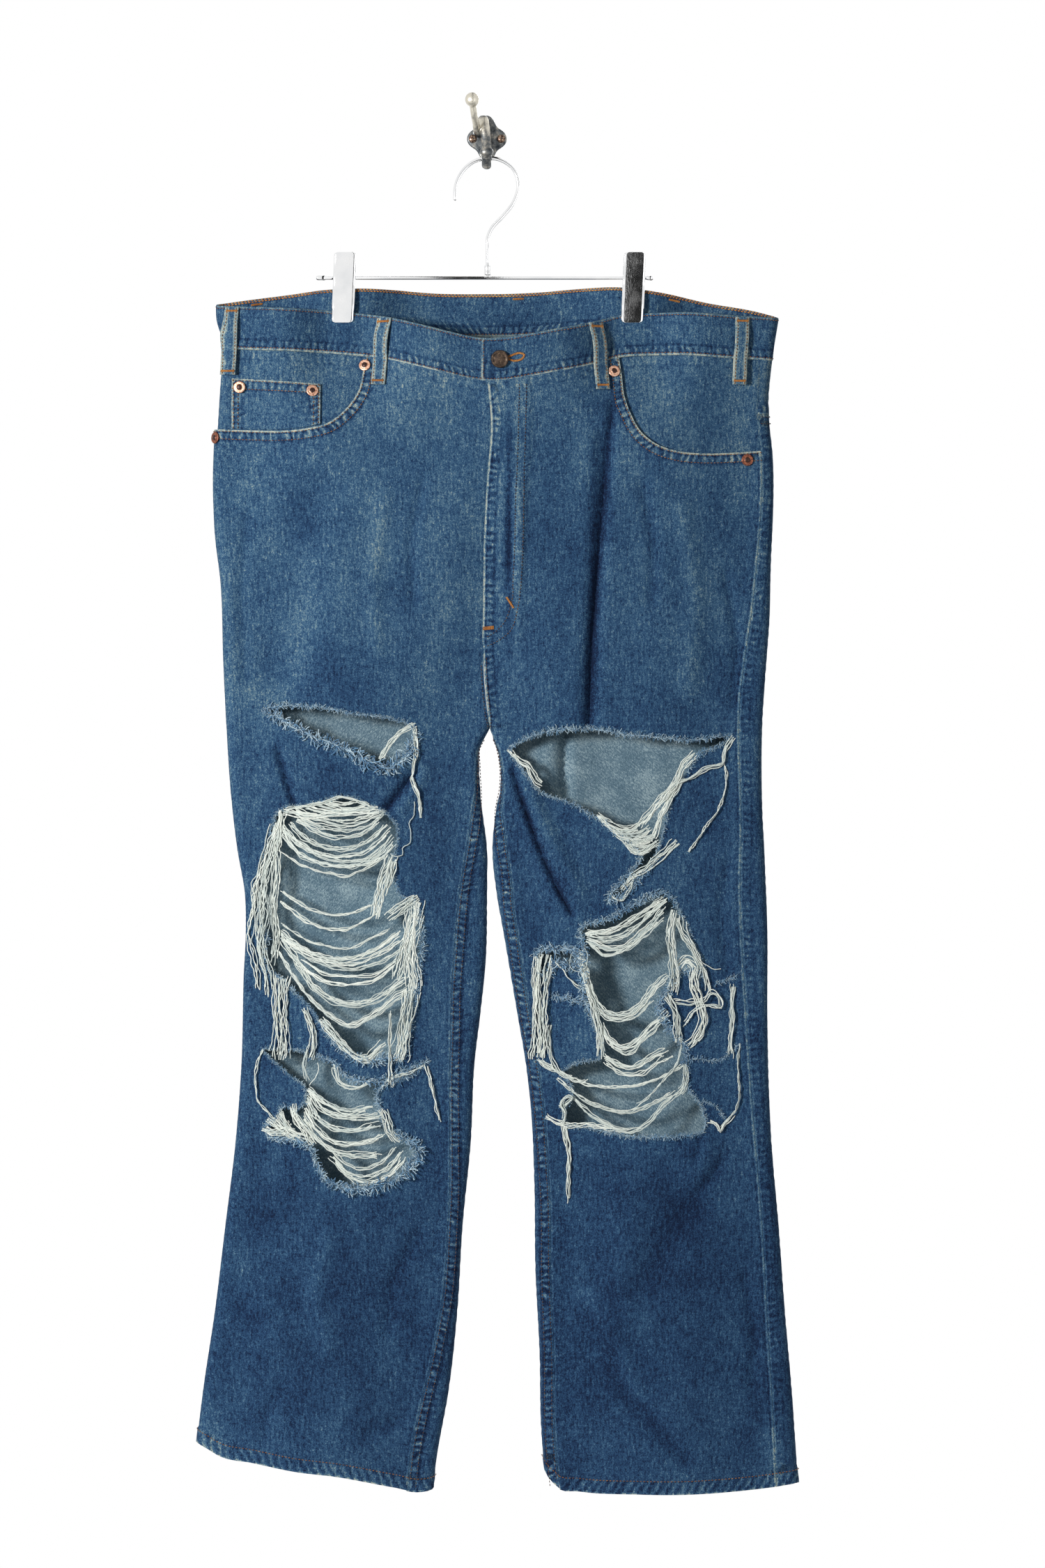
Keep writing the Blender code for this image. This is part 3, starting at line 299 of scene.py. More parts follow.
def smooth_path(points, step):
    """Evenly read points of a smooth curve through the given ones, and their share of its length."""
    points = np.array(points, float)
    keys = np.concatenate([[0], np.cumsum(np.linalg.norm(np.diff(points, axis=0), axis=1))])
    at = np.linspace(0, keys[-1], max(3, round(keys[-1] / step) + 1))
    columns = [curve(list(zip(keys, points[:, k])), at) for k in range(points.shape[1])]
    return np.stack(columns, axis=1), at / keys[-1]


def ring_faces(rings, sides):
    """Four-sided faces between rings of points."""
    return [(at + k, at + (k + 1) % sides, at + sides + (k + 1) % sides, at + sides + k)
            for at in range(0, (rings - 1) * sides, sides) for k in range(sides)]


def tube_faces(rings, sides):
    """The same, with a face over each end."""
    last = (rings - 1) * sides
    return ring_faces(rings, sides) + [tuple(reversed(range(sides))), tuple(range(last, last + sides))]


def outward(mesh):
    """The same mesh with every face turned outwards."""
    shaped = bmesh.new()
    shaped.from_mesh(mesh)
    bmesh.ops.recalc_face_normals(shaped, faces=shaped.faces[:])
    shaped.to_mesh(mesh)
    shaped.free()
    return mesh


def solid_mesh(name, verts, faces):
    """Closed mesh from points in metres, with its faces turned outwards."""
    mesh = bpy.data.meshes.new(name)
    mesh.from_pydata(verts, [], faces)
    return outward(mesh)


def rod_mesh(name, points, radii, sides):
    """Closed round rod through points in millimetres, with a radius at each."""
    points = np.array(points, float)
    runs = np.gradient(points, axis=0)
    side = Vector((0, 1, 0)) if abs(Vector(runs[0]).normalized().y) < 0.9 else Vector((1, 0, 0))
    verts = []
    for place, run, radius in zip(points, runs, radii):
        run = Vector(run).normalized()
        side = (side - run * side.dot(run)).normalized()
        other = run.cross(side)
        for k in range(sides):
            angle = 2 * math.pi * k / sides
            verts.append((Vector(place) + (side * math.cos(angle) + other * math.sin(angle)) * radius) * MM)
    return solid_mesh(name, verts, tube_faces(len(points), sides))


def joined(name, meshes):
    """One mesh from several."""
    whole = bmesh.new()
    for mesh in meshes:
        whole.from_mesh(mesh)
    mesh = bpy.data.meshes.new(name)
    whole.to_mesh(mesh)
    whole.free()
    return mesh


def settled(piece):
    """The piece with its modifiers turned into plain mesh."""
    seen = piece.evaluated_get(bpy.context.evaluated_depsgraph_get())
    mesh = bpy.data.meshes.new_from_object(seen)
    piece.modifiers.clear()
    piece.data = mesh
    return piece


# Plate's section, from its back: share of the outline's reach, share of the wall's thickness.
PLATE_SECTION = [(1.0, 0.0), (1.0, 0.6), (0.965, 0.9), (0.91, 1.0), (0.45, 1.12), (0.0, 1.15)]
PLATE_TALL = 1.17          # height of the plate over its breadth


def plate_mesh(name, radius, lobe, wall, sides=96):
    """Lobed plate with a rounded front edge, from its back face on the wall plane."""
    verts = []
    for share, depth in PLATE_SECTION[:-1]:
        for k in range(sides):
            angle = 2 * math.pi * k / sides
            reach = (radius + lobe * math.cos(4 * angle)) * share * MM
            verts.append((reach * math.cos(angle), -wall * depth * MM, reach * math.sin(angle) * PLATE_TALL))
    middle, back = len(verts), len(verts) + 1
    verts += [(0.0, -wall * PLATE_SECTION[-1][1] * MM, 0.0), (0.0, 0.0, 0.0)]
    faces = ring_faces(len(PLATE_SECTION) - 1, sides)
    last = middle - sides
    for k in range(sides):
        nxt = (k + 1) % sides
        faces += [(last + k, last + nxt, middle), (nxt, k, back)]
    return solid_mesh(name, verts, faces)


iron = Finish("bronzed_cast_iron", 0.38, metallic=0.9)
iron_grain = iron.noise(iron.place(), 900.0, 3.0)
iron_rub = iron.noise(iron.place(), 170.0, 4.0, 0.6)
level = iron.part(iron.place(), "Z")
forward = iron.part(iron.place(), "Y")
lower_tip = iron.span(forward, -0.050, -0.044, 1.0, 0.0)
worn_tips = iron.sum("ADD", iron.span(level, 0.023, 0.029), iron.times(lower_tip, -0.5))
root = iron.span(level, 0.0, 0.017, 0.25, 1.0)
# Painted highlight, partly rubbed wear: the forward-facing top of the lower prong's root is made paler, and
# worn carries this painted light into the colour.
ridge_highlight_and_wear = iron.times(iron.span(forward, -0.010, -0.005, 1.0, 0.0), root)
worn = iron.times(worn_tips, 0.15, iron.times(ridge_highlight_and_wear, 0.36, iron_rub))
iron.colour(iron.ramp(worn, [(0.34, (0.040, 0.046, 0.052)), (0.52, (0.14, 0.15, 0.155)),
                             (0.66, (0.36, 0.34, 0.30)), (0.82, (0.72, 0.68, 0.58))]))
iron.feed(iron.shader["Roughness"], iron.span(worn, 0.3, 0.75, 0.50, 0.34))
iron.bump(iron.times(iron_grain, 0.12))

castings = [plate_mesh("plate", 17.0, 2.7, PLATE_WALL)]
for rod, flare, tip, route in PRONGS:
    path, along = smooth_path(route, 1.2)
    ahead = (path[-1] - path[-2]) / np.linalg.norm(path[-1] - path[-2])
    latitudes = np.linspace(-1.0, 1.5, 16)
    ball = [path[-1] + ahead * tip * (1 + math.sin(angle)) for angle in latitudes]
    # The ball's first part runs into the rod, as a neck.
    ball_radii = [max(rod * 0.8 if angle < -0.9 else 0.0, tip * math.cos(angle)) for angle in latitudes]
    radii = [rod + flare * max(0.0, 1 - 2.2 * t) for t in along]
    prong = rod_mesh("prong", [*path, *ball], [*radii, *ball_radii], 28)
    if rod == PRONG_R:
        prong.transform(Matrix.Diagonal((PRONG_BROAD, 1.0, 1.0, 1.0)))
    castings.append(prong)
casting = shell("wall_hook_casting", joined("wall_hook_casting", castings), iron.look)
skin_over = casting.modifiers.new("one_skin", "REMESH")
skin_over.mode = "VOXEL"
skin_over.voxel_size = 0.55 * MM
rounded = casting.modifiers.new("sand_cast_edges", "SMOOTH")
rounded.factor = 0.5
rounded.iterations = 6
settled(casting)
casting.data.shade_smooth()
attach(casting, BODY)
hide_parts("wall_hook")


# ---- Wall screws: two brass raised-head screws with a cross recess, driven through the plate's side lobes.

HEAD_R = 4.1
RECESS_WIDTH = 0.9
RECESS_LENGTH = 4.6
RECESS_DEPTH = 1.3


class Recipe(Nodes):
    """A Geometry Nodes tree with named inputs, which ends in Realize Instances and Set Material."""

    def __init__(self, name, inputs):
        super().__init__(bpy.data.node_groups.new(name, "GeometryNodeTree"))
        face = self.tree.interface
        face.new_socket("Geometry", in_out="INPUT", socket_type="NodeSocketGeometry")
        for label, value in inputs.items():
            kind = "NodeSocketInt" if isinstance(value, int) else "NodeSocketFloat"
            face.new_socket(label, in_out="INPUT", socket_type=kind).default_value = value
        face.new_socket("Finish", in_out="INPUT", socket_type="NodeSocketMaterial")
        face.new_socket("Geometry", in_out="OUTPUT", socket_type="NodeSocketGeometry")
        self.given = self.add("NodeGroupInput").outputs

    def finish(self, geometry):
        whole = self.node("RealizeInstances", Geometry=geometry)
        painted = self.node("SetMaterial", Geometry=whole, Material=self.given["Finish"])
        self.add("NodeGroupOutput", Geometry=painted)


def grown(name, recipe, start, look, **values):
    """Plain mesh piece that a recipe makes from a start mesh."""
    holder = put_in(name, start)
    maker = holder.modifiers.new("recipe", "NODES")
    maker.node_group = recipe.tree
    values["Finish"] = look
    for item in recipe.tree.interface.items_tree:
        if item.in_out == "INPUT" and item.name in values:
            maker[item.identifier] = values[item.name]
    settled(holder)
    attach(holder, BODY)
    return holder


def seats(name, places):
    """Bare points for a recipe to build on."""
    mesh = bpy.data.meshes.new(name)
    mesh.from_pydata([Vector(place) * MM for place in places], [], [])
    return mesh


brass = Finish("tarnished_brass", 0.36, metallic=1.0)
brass_stain = brass.noise(brass.place(), 600.0, 4.0)
brass.colour(brass.ramp(brass_stain, [(0.38, (0.06, 0.035, 0.03)), (0.55, (0.26, 0.18, 0.13)),
                                      (0.72, (0.60, 0.46, 0.34))]))
brass.bump(brass.times(brass_stain, 0.06))

screw = Recipe("cross_head_screw", {"Radius": HEAD_R * MM, "Recess Width": RECESS_WIDTH * MM,
                                    "Recess Length": RECESS_LENGTH * MM, "Recess Depth": RECESS_DEPTH * MM})
dome_ball = screw.node("MeshUVSphere", Segments=40, Rings=24, Radius=screw.given["Radius"])
flat_dome = screw.node("Transform", Geometry=dome_ball, Scale=(1.0, 0.5, 1.0))
cross = screw.add("MeshBoolean", {"operation": "DIFFERENCE"})
screw.feed(cross.inputs["Mesh 1"], flat_dome)
for ways in (("Recess Length", "Recess Width"), ("Recess Width", "Recess Length")):
    across, tall = (screw.given[way] for way in ways)
    size = screw.node("ShaderNodeCombineXYZ", X=across, Y=screw.given["Recess Depth"], Z=tall)
    blade = screw.node("MeshCube", Size=size)
    blade = screw.node("Transform", Geometry=blade, Translation=(0.0, -HEAD_R * 0.5 * MM, 0.0))
    screw.feed(cross.inputs["Mesh 2"], blade)
screw.finish(screw.node("InstanceOnPoints", Points=screw.given["Geometry"], Instance=cross.outputs["Mesh"]))

for label, across in (("right", -SCREW_ACROSS), ("left", SCREW_ACROSS)):
    head = grown(f"screw_head_{label}", screw, seats("seat", [(across, -PLATE_WALL - 0.4, 0)]), brass.look)
    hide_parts(f"wall_screw_{label}")


# ---- Hanger: a swivel hook of bent wire in a small ferrule, on a straight bar that carries the two clips.
# All of it is bright chrome plate on steel.

MID_Y = -45.0
BAR_DOWN = 140.5
BAR_R = 1.6
BAR_KNOB = 2.4
HOOK_ROUTE = [(1, 127), (1, 112), (1.2, 101), (5, 92), (15, 81), (26, 67), (31, 50), (26, 34), (14, 25.5),
              (0, HOOK_TOP), (-13, 27), (-24, 37), (-30, 50), (-31, 63)]

chrome = Finish("bright_chrome", 0.10, metallic=1.0)
chrome_smear = chrome.noise(chrome.place(), 60.0, 4.0)
chrome.colour(chrome.ramp(chrome_smear, [(0.3, (0.84, 0.85, 0.86)), (0.7, (0.96, 0.96, 0.96))]))
chrome.feed(chrome.shader["Roughness"], chrome.span(chrome_smear, 0.35, 0.75, 0.05, 0.14))
polish = chrome.noise(chrome.stretch(chrome.place(), (1.0, 1.0, 0.08)), 1500.0, 2.0)
chrome.bump(chrome.times(polish, 0.02))

wire, _ = smooth_path([(x, MID_Y, -down) for x, down in HOOK_ROUTE], 1.5)
tip_run = (wire[-1] - wire[-2]) / np.linalg.norm(wire[-1] - wire[-2])
tip_angles = (0.4, 0.8, 1.2, 1.5)
tip_cap = [wire[-1] + tip_run * WIRE_R * math.sin(angle) for angle in tip_angles]
tip_radii = [WIRE_R * math.cos(angle) for angle in tip_angles]
# Ferrule: down, radius.
FERRULE = [(138.2, 2.6), (137.9, 3.4), (136.0, 3.6), (134.0, 3.3), (131.5, 3.3), (130.0, 3.6), (128.6, 3.3),
           (128.0, 2.2)]
ferrule = [(1, MID_Y, -down) for down, _ in FERRULE]
hook_radii = [*[radius for _, radius in FERRULE], *[WIRE_R] * len(wire), *tip_radii]
hook_mesh = rod_mesh("hook", [*ferrule, *wire, *tip_cap], hook_radii, 28)
hook = shell("hanger_swivel_hook", hook_mesh, chrome.look)
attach(hook, BODY)
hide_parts("hanger_hook")

# Bar: place to the wearer's left, radius.
BAR = [(-167, 0.6), (-166.4, 1.8), (-165, BAR_KNOB), (-159, BAR_KNOB), (-157.6, 2.0), (-157, BAR_R),
       (156, BAR_R), (156.8, 2.0), (158, BAR_KNOB), (161.5, BAR_KNOB), (162.6, 1.8), (163, 0.6)]
bar_mesh = rod_mesh("bar", [(x, MID_Y, -BAR_DOWN) for x, _ in BAR], [radius for _, radius in BAR], 24)
bar = shell("hanger_cross_bar", bar_mesh, chrome.look)
bar.data.set_sharp_from_angle(angle=math.radians(50))
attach(bar, BODY)
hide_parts("hanger_bar")


# ---- Clips: two pressed-steel jaws on each side of the waistband, shut by a wound spring round the bar.
# The jaws are chromed, with rolled side edges and a lip that bites the cloth; the springs are dull wire.

CLIP_WIDTH = 22.0
CLIP_WALL = 1.2
CLIP_TOP = 116.0
CLIP_LIP = 184.5
CLIP_ACROSS = {"right": -139.0, "left": 144.0}
# Middle of a jaw's sheet: down, distance from the middle plane.
JAW = [(CLIP_TOP, 9.5), (128, 8.2), (138, 5.6), (146, 4.6), (158, 5.6), (170, 6.4), (179, 5.0),
       (CLIP_LIP, 4.5)]
EDGE_ROLL = 1.1            # how far the side edges curl towards the cloth
JAW_BOW = 0.08             # how far the middle of a jaw stands out
JAW_CORNER = 3.0           # rounding of a jaw's corners
JAW_LEAN = -0.045          # sideways lean of the clips for each millimetre down from the bar
JAW_TURN = 0.25            # how far the outer edge of a jaw turns in, as the cloth curves away to the side
COIL_R = 3.6
COIL_WIRE = 0.62
COIL_TURNS = 9.0
COIL_LENGTH = 14.0


def jaw_mesh(name, centre, towards):
    """Bent sheet jaw; towards is -1 for the front one and +1 for the back one."""
    downs = np.linspace(CLIP_TOP, CLIP_LIP, 70)
    away = curve(JAW, downs)
    columns = np.linspace(-1.0, 1.0, 25)
    verts, faces = [], []
    for layer in (0.5, -0.5):
        for down, rest in zip(downs, away):
            short = max(0.0, JAW_CORNER - min(down - CLIP_TOP, CLIP_LIP - down))
            half = CLIP_WIDTH / 2 - (JAW_CORNER - math.sqrt(JAW_CORNER**2 - short**2))
            lean = (down - BAR_DOWN) * JAW_LEAN
            for share in columns:
                roll = EDGE_ROLL * max(0.0, (abs(share) - 0.82) / 0.18) ** 2
                bow = JAW_BOW * (1 - share**2) - JAW_TURN * share * math.copysign(1.0, centre)
                depth = rest - roll + bow + CLIP_WALL * layer
                place = Vector((centre + half * share + lean, MID_Y + towards * depth, -down))
                verts.append(place * MM)
    rows, count = len(downs), len(columns)
    inner = rows * count
    for i in range(rows - 1):
        for k in range(count - 1):
            a = i * count + k
            faces.append((a, a + 1, a + count + 1, a + count))
            faces.append((a + inner + count, a + inner + count + 1, a + inner + 1, a + inner))
    rim = [*range(count), *[i * count + count - 1 for i in range(1, rows)],
           *range(inner - 2, inner - count - 1, -1), *[i * count for i in range(rows - 2, 0, -1)]]
    faces += [(a, b, b + inner, a + inner) for a, b in zip(rim, [*rim[1:], rim[0]])]
    return solid_mesh(name, verts, faces)


spring_steel = Finish("dull_spring_steel", 0.34, metallic=1.0)
spring_tone = spring_steel.noise(spring_steel.place(), 500.0, 3.0)
spring_steel.colour(spring_steel.ramp(spring_tone, [(0.3, (0.24, 0.25, 0.26)), (0.7, (0.46, 0.47, 0.48))]))

spring = Recipe("wound_spring", {"Coil Radius": COIL_R * MM, "Wire Radius": COIL_WIRE * MM,
                                 "Turns": COIL_TURNS, "Length": COIL_LENGTH * MM})
coil = spring.node("CurveSpiral", Resolution=26, Rotations=spring.given["Turns"],
                   Start_Radius=spring.given["Coil Radius"], End_Radius=spring.given["Coil Radius"],
                   Height=spring.given["Length"])
round_wire = spring.node("CurvePrimitiveCircle", Resolution=8, Radius=spring.given["Wire Radius"])
wound = spring.node("CurveToMesh", Curve=coil, Profile_Curve=round_wire, Fill_Caps=True)
laid = spring.node("Transform", Geometry=wound, Rotation=(0.0, math.pi / 2, 0.0),
                   Translation=(-COIL_LENGTH / 2 * MM, 0.0, 0.0))
spring.finish(spring.node("InstanceOnPoints", Points=spring.given["Geometry"], Instance=laid))

for label, centre in CLIP_ACROSS.items():
    for which_side, towards in (("front", -1), ("back", 1)):
        jaw = shell(f"clip_jaw_{label}_{which_side}", jaw_mesh("jaw", centre, towards), chrome.look)
        jaw.data.set_sharp_from_angle(angle=math.radians(50))
        soft_edge = jaw.modifiers.new("soft_edges", "BEVEL")
        soft_edge.width = 0.25 * MM
        soft_edge.segments = 2
        soft_edge.limit_method = "ANGLE"
        settled(jaw)
        jaw.data.shade_smooth()
        jaw.data.set_sharp_from_angle(angle=math.radians(60))
        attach(jaw, BODY)
        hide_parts(f"clip_{label}_{which_side}")
    coil_seat = seats("seat", [(centre, MID_Y, -BAR_DOWN)])
    coils = grown(f"clip_coil_{label}", spring, coil_seat, spring_steel.look)
    coils.data.shade_smooth()
    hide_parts(f"clip_{label}_spring")


# ---- Back panels: two long pieces of heavy indigo twill, each felled to its yoke, its twin and its front.
# Each leg hangs as a flattened tube with soft round side edges, creased from wear and from hanging.

EDGE_R = 9.0               # rounding of the folded side edges
QUARTER = EDGE_R * math.pi / 2
SLACK = QUARTER - EDGE_R   # unrolled length that a rounded edge adds past its outline
DENIM = 1.5                # room that one layer takes
WALL = 1.15                # cloth itself
BAND = 3.0
BAND_HEIGHT = 42.0
CROTCH = 581.0
# Centre line of the front and back seams: down, offset to the wearer's left.
CENTRE = [(150, 3), (246, 3), (282, 6), (342, 2), (405, -1), (473, -2), (501, -3), (537, -2), (566, 1),
          (581, 3)]
# How far each half of the seat runs on past the centre line: down, overlap.
OVERLAP = [(150, 110), (262, 110), (300, 98), (380, 78), (430, 62), (470, 48), (510, 33), (540, 20),
           (560, 10), (572, 4), (581, -0.9)]
# Forward and backward swell of the cloth from the middle plane: down, half depth.
FRONT_SWELL = [(150, 33), (245, 31), (330, 27), (450, 23), (581, 19), (700, 18), (850, 20), (1000, 18),
               (1330, 22)]
BACK_SWELL = [(150, 24), (245, 24), (400, 26), (581, 20), (700, 17), (1000, 17), (1330, 20)]
SWELL_REACH = 108.0        # distance over which the swell rises from each edge
VALLEY_SWELL = 22.0        # swell beside the centre seam, for the room between its edges
CLIP_DEPTH = 1.85          # half distance between front and back where a clip pinches them
CLIP_FLAT = 13.0           # half width that lies flat in a clip
CLIP_REACH = 38.0          # distance over which the cloth opens again beside a clip
# Broad soft folds of the front: side, across, down at both ends, half width, height.
FOLDS = [
    (1, 114, 290, 99, 590, 8, -5.0),
    (1, 30, 640, 88, 770, 16, 5.0),
    (-1, 156, 330, 206, 560, 26, -5.0),
    (-1, 230, 1130, 196, 1190, 22, 4.5),
    (1, 137, 1030, 130, 1170, 22, 4.0),
    (1, 215, 980, 200, 1030, 16, 4.0),
]
# Creases: side, on the back or not, half width, height out, then the run as across, down.
CREASES = [
    (1, False, 4.0, -5.4, [(124, 256), (120, 300), (115, 346), (111, 400), (106, 455), (102, 500),
                           (100, 586)]),
    (1, False, 3.3, -7.0, [(22, 612), (33, 646), (46, 682), (58, 713), (72, 742), (87, 768)]),
    (1, False, 7.0, 3.0, [(34, 612), (52, 664), (74, 708), (98, 752)]),
    (1, False, 4.0, -1.6, [(22, 339), (23, 395), (21, 448)]),
    (1, False, 5.0, 1.6, [(30, 330), (32, 400), (29, 452)]),
    (1, False, 6.0, -2.2, [(150, 330), (163, 402), (160, 470)]),
    (1, False, 10.0, 2.2, [(188, 350), (204, 450), (196, 560)]),
    (1, False, 5.0, -2.0, [(232, 420), (246, 500), (240, 570)]),
    (1, False, 5.0, -2.4, [(209, 972), (207, 992), (199, 1013)]),
    (1, False, 5.0, -2.6, [(236, 992), (219, 1019), (199, 1040)]),
    (1, False, 16.0, -3.0, [(212, 1026), (172, 1090), (137, 1149)]),
    (1, False, 9.0, -2.6, [(124, 1217), (165, 1262), (205, 1305)]),
    (1, False, 8.0, 2.0, [(96, 1120), (132, 1188), (150, 1240)]),
    (1, False, 6.0, -1.8, [(250, 1100), (262, 1180), (258, 1240)]),
    (1, False, 6.0, -1.8, [(238, 700), (228, 760), (236, 830)]),
    (-1, False, 24.0, -2.6, [(155, 312), (223, 462), (206, 557)]),
    (-1, False, 3.8, -5.6, [(206, 594), (199, 618), (191, 644), (184, 668)]),
    (-1, False, 5.0, -6.6, [(66, 618), (79, 636), (92, 653), (103, 668)]),
    (-1, False, 6.0, 2.0, [(54, 612), (70, 640), (88, 668)]),
    (-1, False, 5.0, -1.8, [(60, 330), (74, 400), (70, 470)]),
    (-1, False, 8.0, 1.8, [(96, 340), (112, 430), (106, 520)]),
    (-1, False, 6.0, -2.0, [(232, 360), (240, 450), (236, 540)]),
    (-1, False, 12.0, -2.8, [(247, 1128), (232, 1152), (216, 1176)]),
    (-1, False, 8.0, -2.6, [(128, 1271), (100, 1262), (73, 1250)]),
    (-1, False, 7.0, -2.2, [(60, 1060), (92, 1120), (98, 1180)]),
    (-1, False, 9.0, 2.2, [(150, 1060), (168, 1130), (150, 1200)]),
    (-1, False, 6.0, -1.8, [(196, 1210), (214, 1250), (218, 1285)]),
    (1, True, 4.5, 8.0, [(79, 530), (76, 620), (80, 710)]),
    (1, True, 9.0, -3.0, [(62, 560), (60, 640), (62, 720)]),
    (1, True, 6.0, -3.0, [(120, 520), (178, 548), (236, 552)]),
    (1, True, 8.0, 2.4, [(96, 546), (150, 574), (214, 580)]),
    (1, True, 6.0, -2.4, [(104, 752), (160, 786), (226, 790)]),
    (1, True, 7.0, 2.6, [(92, 820), (150, 846), (222, 836)]),
    (1, True, 6.0, -2.6, [(110, 896), (170, 914), (232, 900)]),
    (1, True, 10.0, -2.6, [(210, 1000), (160, 1080), (150, 1170)]),
    (1, True, 8.0, -2.2, [(110, 1200), (150, 1250), (210, 1290)]),
    (-1, True, 6.0, -3.2, [(40, 540), (110, 566), (190, 560)]),
    (-1, True, 8.0, 2.6, [(36, 586), (104, 604), (180, 596)]),
    (-1, True, 6.0, -2.6, [(60, 744), (130, 770), (206, 762)]),
    (-1, True, 7.0, 2.4, [(64, 812), (128, 836), (202, 822)]),
    (-1, True, 6.0, -2.4, [(72, 884), (140, 902), (214, 894)]),
    (-1, True, 10.0, -2.8, [(186, 1010), (140, 1080), (128, 1180)]),
    (-1, True, 8.0, -2.2, [(96, 1190), (134, 1236), (190, 1276)]),
]


def ease(t):
    """Smooth step from 0 to 1."""
    t = np.clip(t, 0.0, 1.0)
    return t * t * (3 - 2 * t)


def nearest(line, spots):
    """Distance of each spot from an open line, and how far along the line its nearest place is."""
    best = np.full(len(spots), np.inf)
    at = np.zeros(len(spots))
    start = 0.0
    for a, b in zip(line[:-1], line[1:]):
        run = b - a
        length = float(np.hypot(*run))
        t = np.clip((spots - a) @ run / max(length**2, 1e-9), 0, 1)
        away = np.hypot(*(spots - a - t[:, None] * run).T)
        closer = away < best
        best[closer] = away[closer]
        at[closer] = start + t[closer] * length
        start += length
    return best, at


class Leg:
    """Outline of one leg: across is measured outwards, so both legs read alike."""

    def __init__(self, side, outer, inner, inseam, outseam, hem, clip):
        self.side = side           # -1 wearer's right, +1 wearer's left
        self.outer = outer         # down, across of the outer edge
        self.inner = inner         # down, across of the inner edge, under the crotch
        self.inseam = inseam       # down, distance of the inseam from the inner edge, on the front
        self.outseam = outseam     # down, unrolled distance of the side seam past the outer edge
        self.hem = hem             # across, down of the hem's edge
        self.clip = clip           # across of the hanger clip

    def centre(self, down):
        return self.side * curve(CENTRE, down)

    def outer_edge(self, down):
        return curve(self.outer, down)

    def inner_edge(self, down):
        down = np.asarray(down, float)
        above = self.centre(down) - curve(OVERLAP, down)
        return np.where(down < CROTCH, above, curve(self.inner, down))

    def outer_limit(self, down):
        return self.outer_edge(down) + SLACK

    def inner_limit(self, down):
        return self.inner_edge(down) - SLACK

    def seam_centre(self, down):
        """Unrolled place where a half of the seat ends at the centre seam."""
        overlap = curve(OVERLAP, down)
        cut = np.clip((EDGE_R - overlap - GAP / 2) / (EDGE_R + DENIM / 2), -1.0, 1.0)
        rounded = self.inner_limit(down) + EDGE_R * np.arccos(cut)
        return np.where(overlap < EDGE_R, rounded, self.centre(down) + GAP / 2 + self.valley(overlap))

    def valley(self, overlap):
        """Room that the leaning walls need at the centre seam."""
        t = np.clip((overlap - EDGE_R) / SWELL_REACH, 0, 1)
        return DENIM / 2 * 6 * t * (1 - t) * VALLEY_SWELL / SWELL_REACH

    def seam_inner(self, down):
        """Unrolled place of the inseam."""
        away = curve(self.inseam, down)
        turned = EDGE_R * np.arccos(np.clip(1 - away / EDGE_R, -1.0, 1.0))
        run = np.where(away < EDGE_R, turned, away + SLACK)
        return self.inner_limit(down) + run

    def seam_outer(self, down):
        """Unrolled place of the side seam: past the limit it lies on the back."""
        return self.outer_limit(down) + curve(self.outseam, down)

    def behind(self, across, down):
        """Unrolled place on the back of a place counted on the front."""
        return 2 * self.outer_limit(down) - across

    def round_inner(self, place, down):
        """Unrolled place, counted round the back, of a place on the front's inner edge."""
        return 2 * (self.outer_limit(down) - self.inner_limit(down)) + place


RIGHT = Leg(
    side=-1,
    outer=[(150, 262), (180, 263), (200, 258), (225, 261), (265, 264), (353, 267), (394, 265), (435, 260),
           (516, 257), (577, 254), (650, 249), (700, 243), (741, 236), (781, 235), (822, 237), (904, 239),
           (985, 245), (1067, 255), (1149, 265), (1230, 277), (1291, 284), (1330, 287)],
    inner=[(581, -2.1), (590, 3), (598, 7), (618, 8), (650, 6), (700, 0), (741, 0), (802, 1), (863, 7),
           (904, 12), (985, 16), (1067, 24), (1149, 29), (1230, 38), (1291, 49), (1330, 54)],
    inseam=[(581, 0.1), (596, 1.0), (611, 2.5), (641, 5), (674, 13), (700, 20), (752, 28), (824, 31),
            (904, 24), (985, 20), (1042, 15), (1135, 15), (1182, 19), (1244, 25), (1330, 25)],
    outseam=[(150, 10), (1330, 10)],
    hem=[(40, 1320), (52, 1324), (62, 1326), (91, 1321), (146, 1310), (187, 1305), (228, 1297), (260, 1291),
         (279, 1280), (300, 1272)],
    clip=139,
)
LEFT = Leg(
    side=1,
    outer=[(150, 284), (180, 284), (205, 280), (225, 278), (271, 275), (312, 279), (435, 277), (475, 276),
           (516, 273), (577, 269), (659, 269), (700, 271), (781, 274), (863, 274), (985, 278), (1067, 285),
           (1149, 291), (1230, 298), (1303, 303), (1330, 305)],
    inner=[(581, 3.9), (590, 7), (598, 10), (618, 14), (639, 14), (659, 10), (700, 6), (741, 10), (781, 17),
           (822, 24), (863, 31), (904, 38), (945, 43), (1026, 47), (1108, 48), (1189, 52), (1271, 54),
           (1330, 60)],
    inseam=[(581, 0.1), (596, 1.5), (625, 2.5), (654, 4.6), (693, 13), (719, 16), (753, 14), (822, 12),
            (985, 13), (1067, 15), (1149, 14), (1330, 12)],
    outseam=[(150, -17), (224, -17), (361, -17), (436, -20), (492, -25), (547, -28), (658, -26), (754, -31),
             (879, -25), (990, -21), (1109, -22), (1234, -25), (1330, -27)],
    hem=[(50, 1298), (60, 1312), (68, 1321), (90, 1325), (150, 1327), (195, 1327), (237, 1325), (278, 1321),
         (310, 1316)],
    clip=144,
)
LEGS = {"right": RIGHT, "left": LEFT}


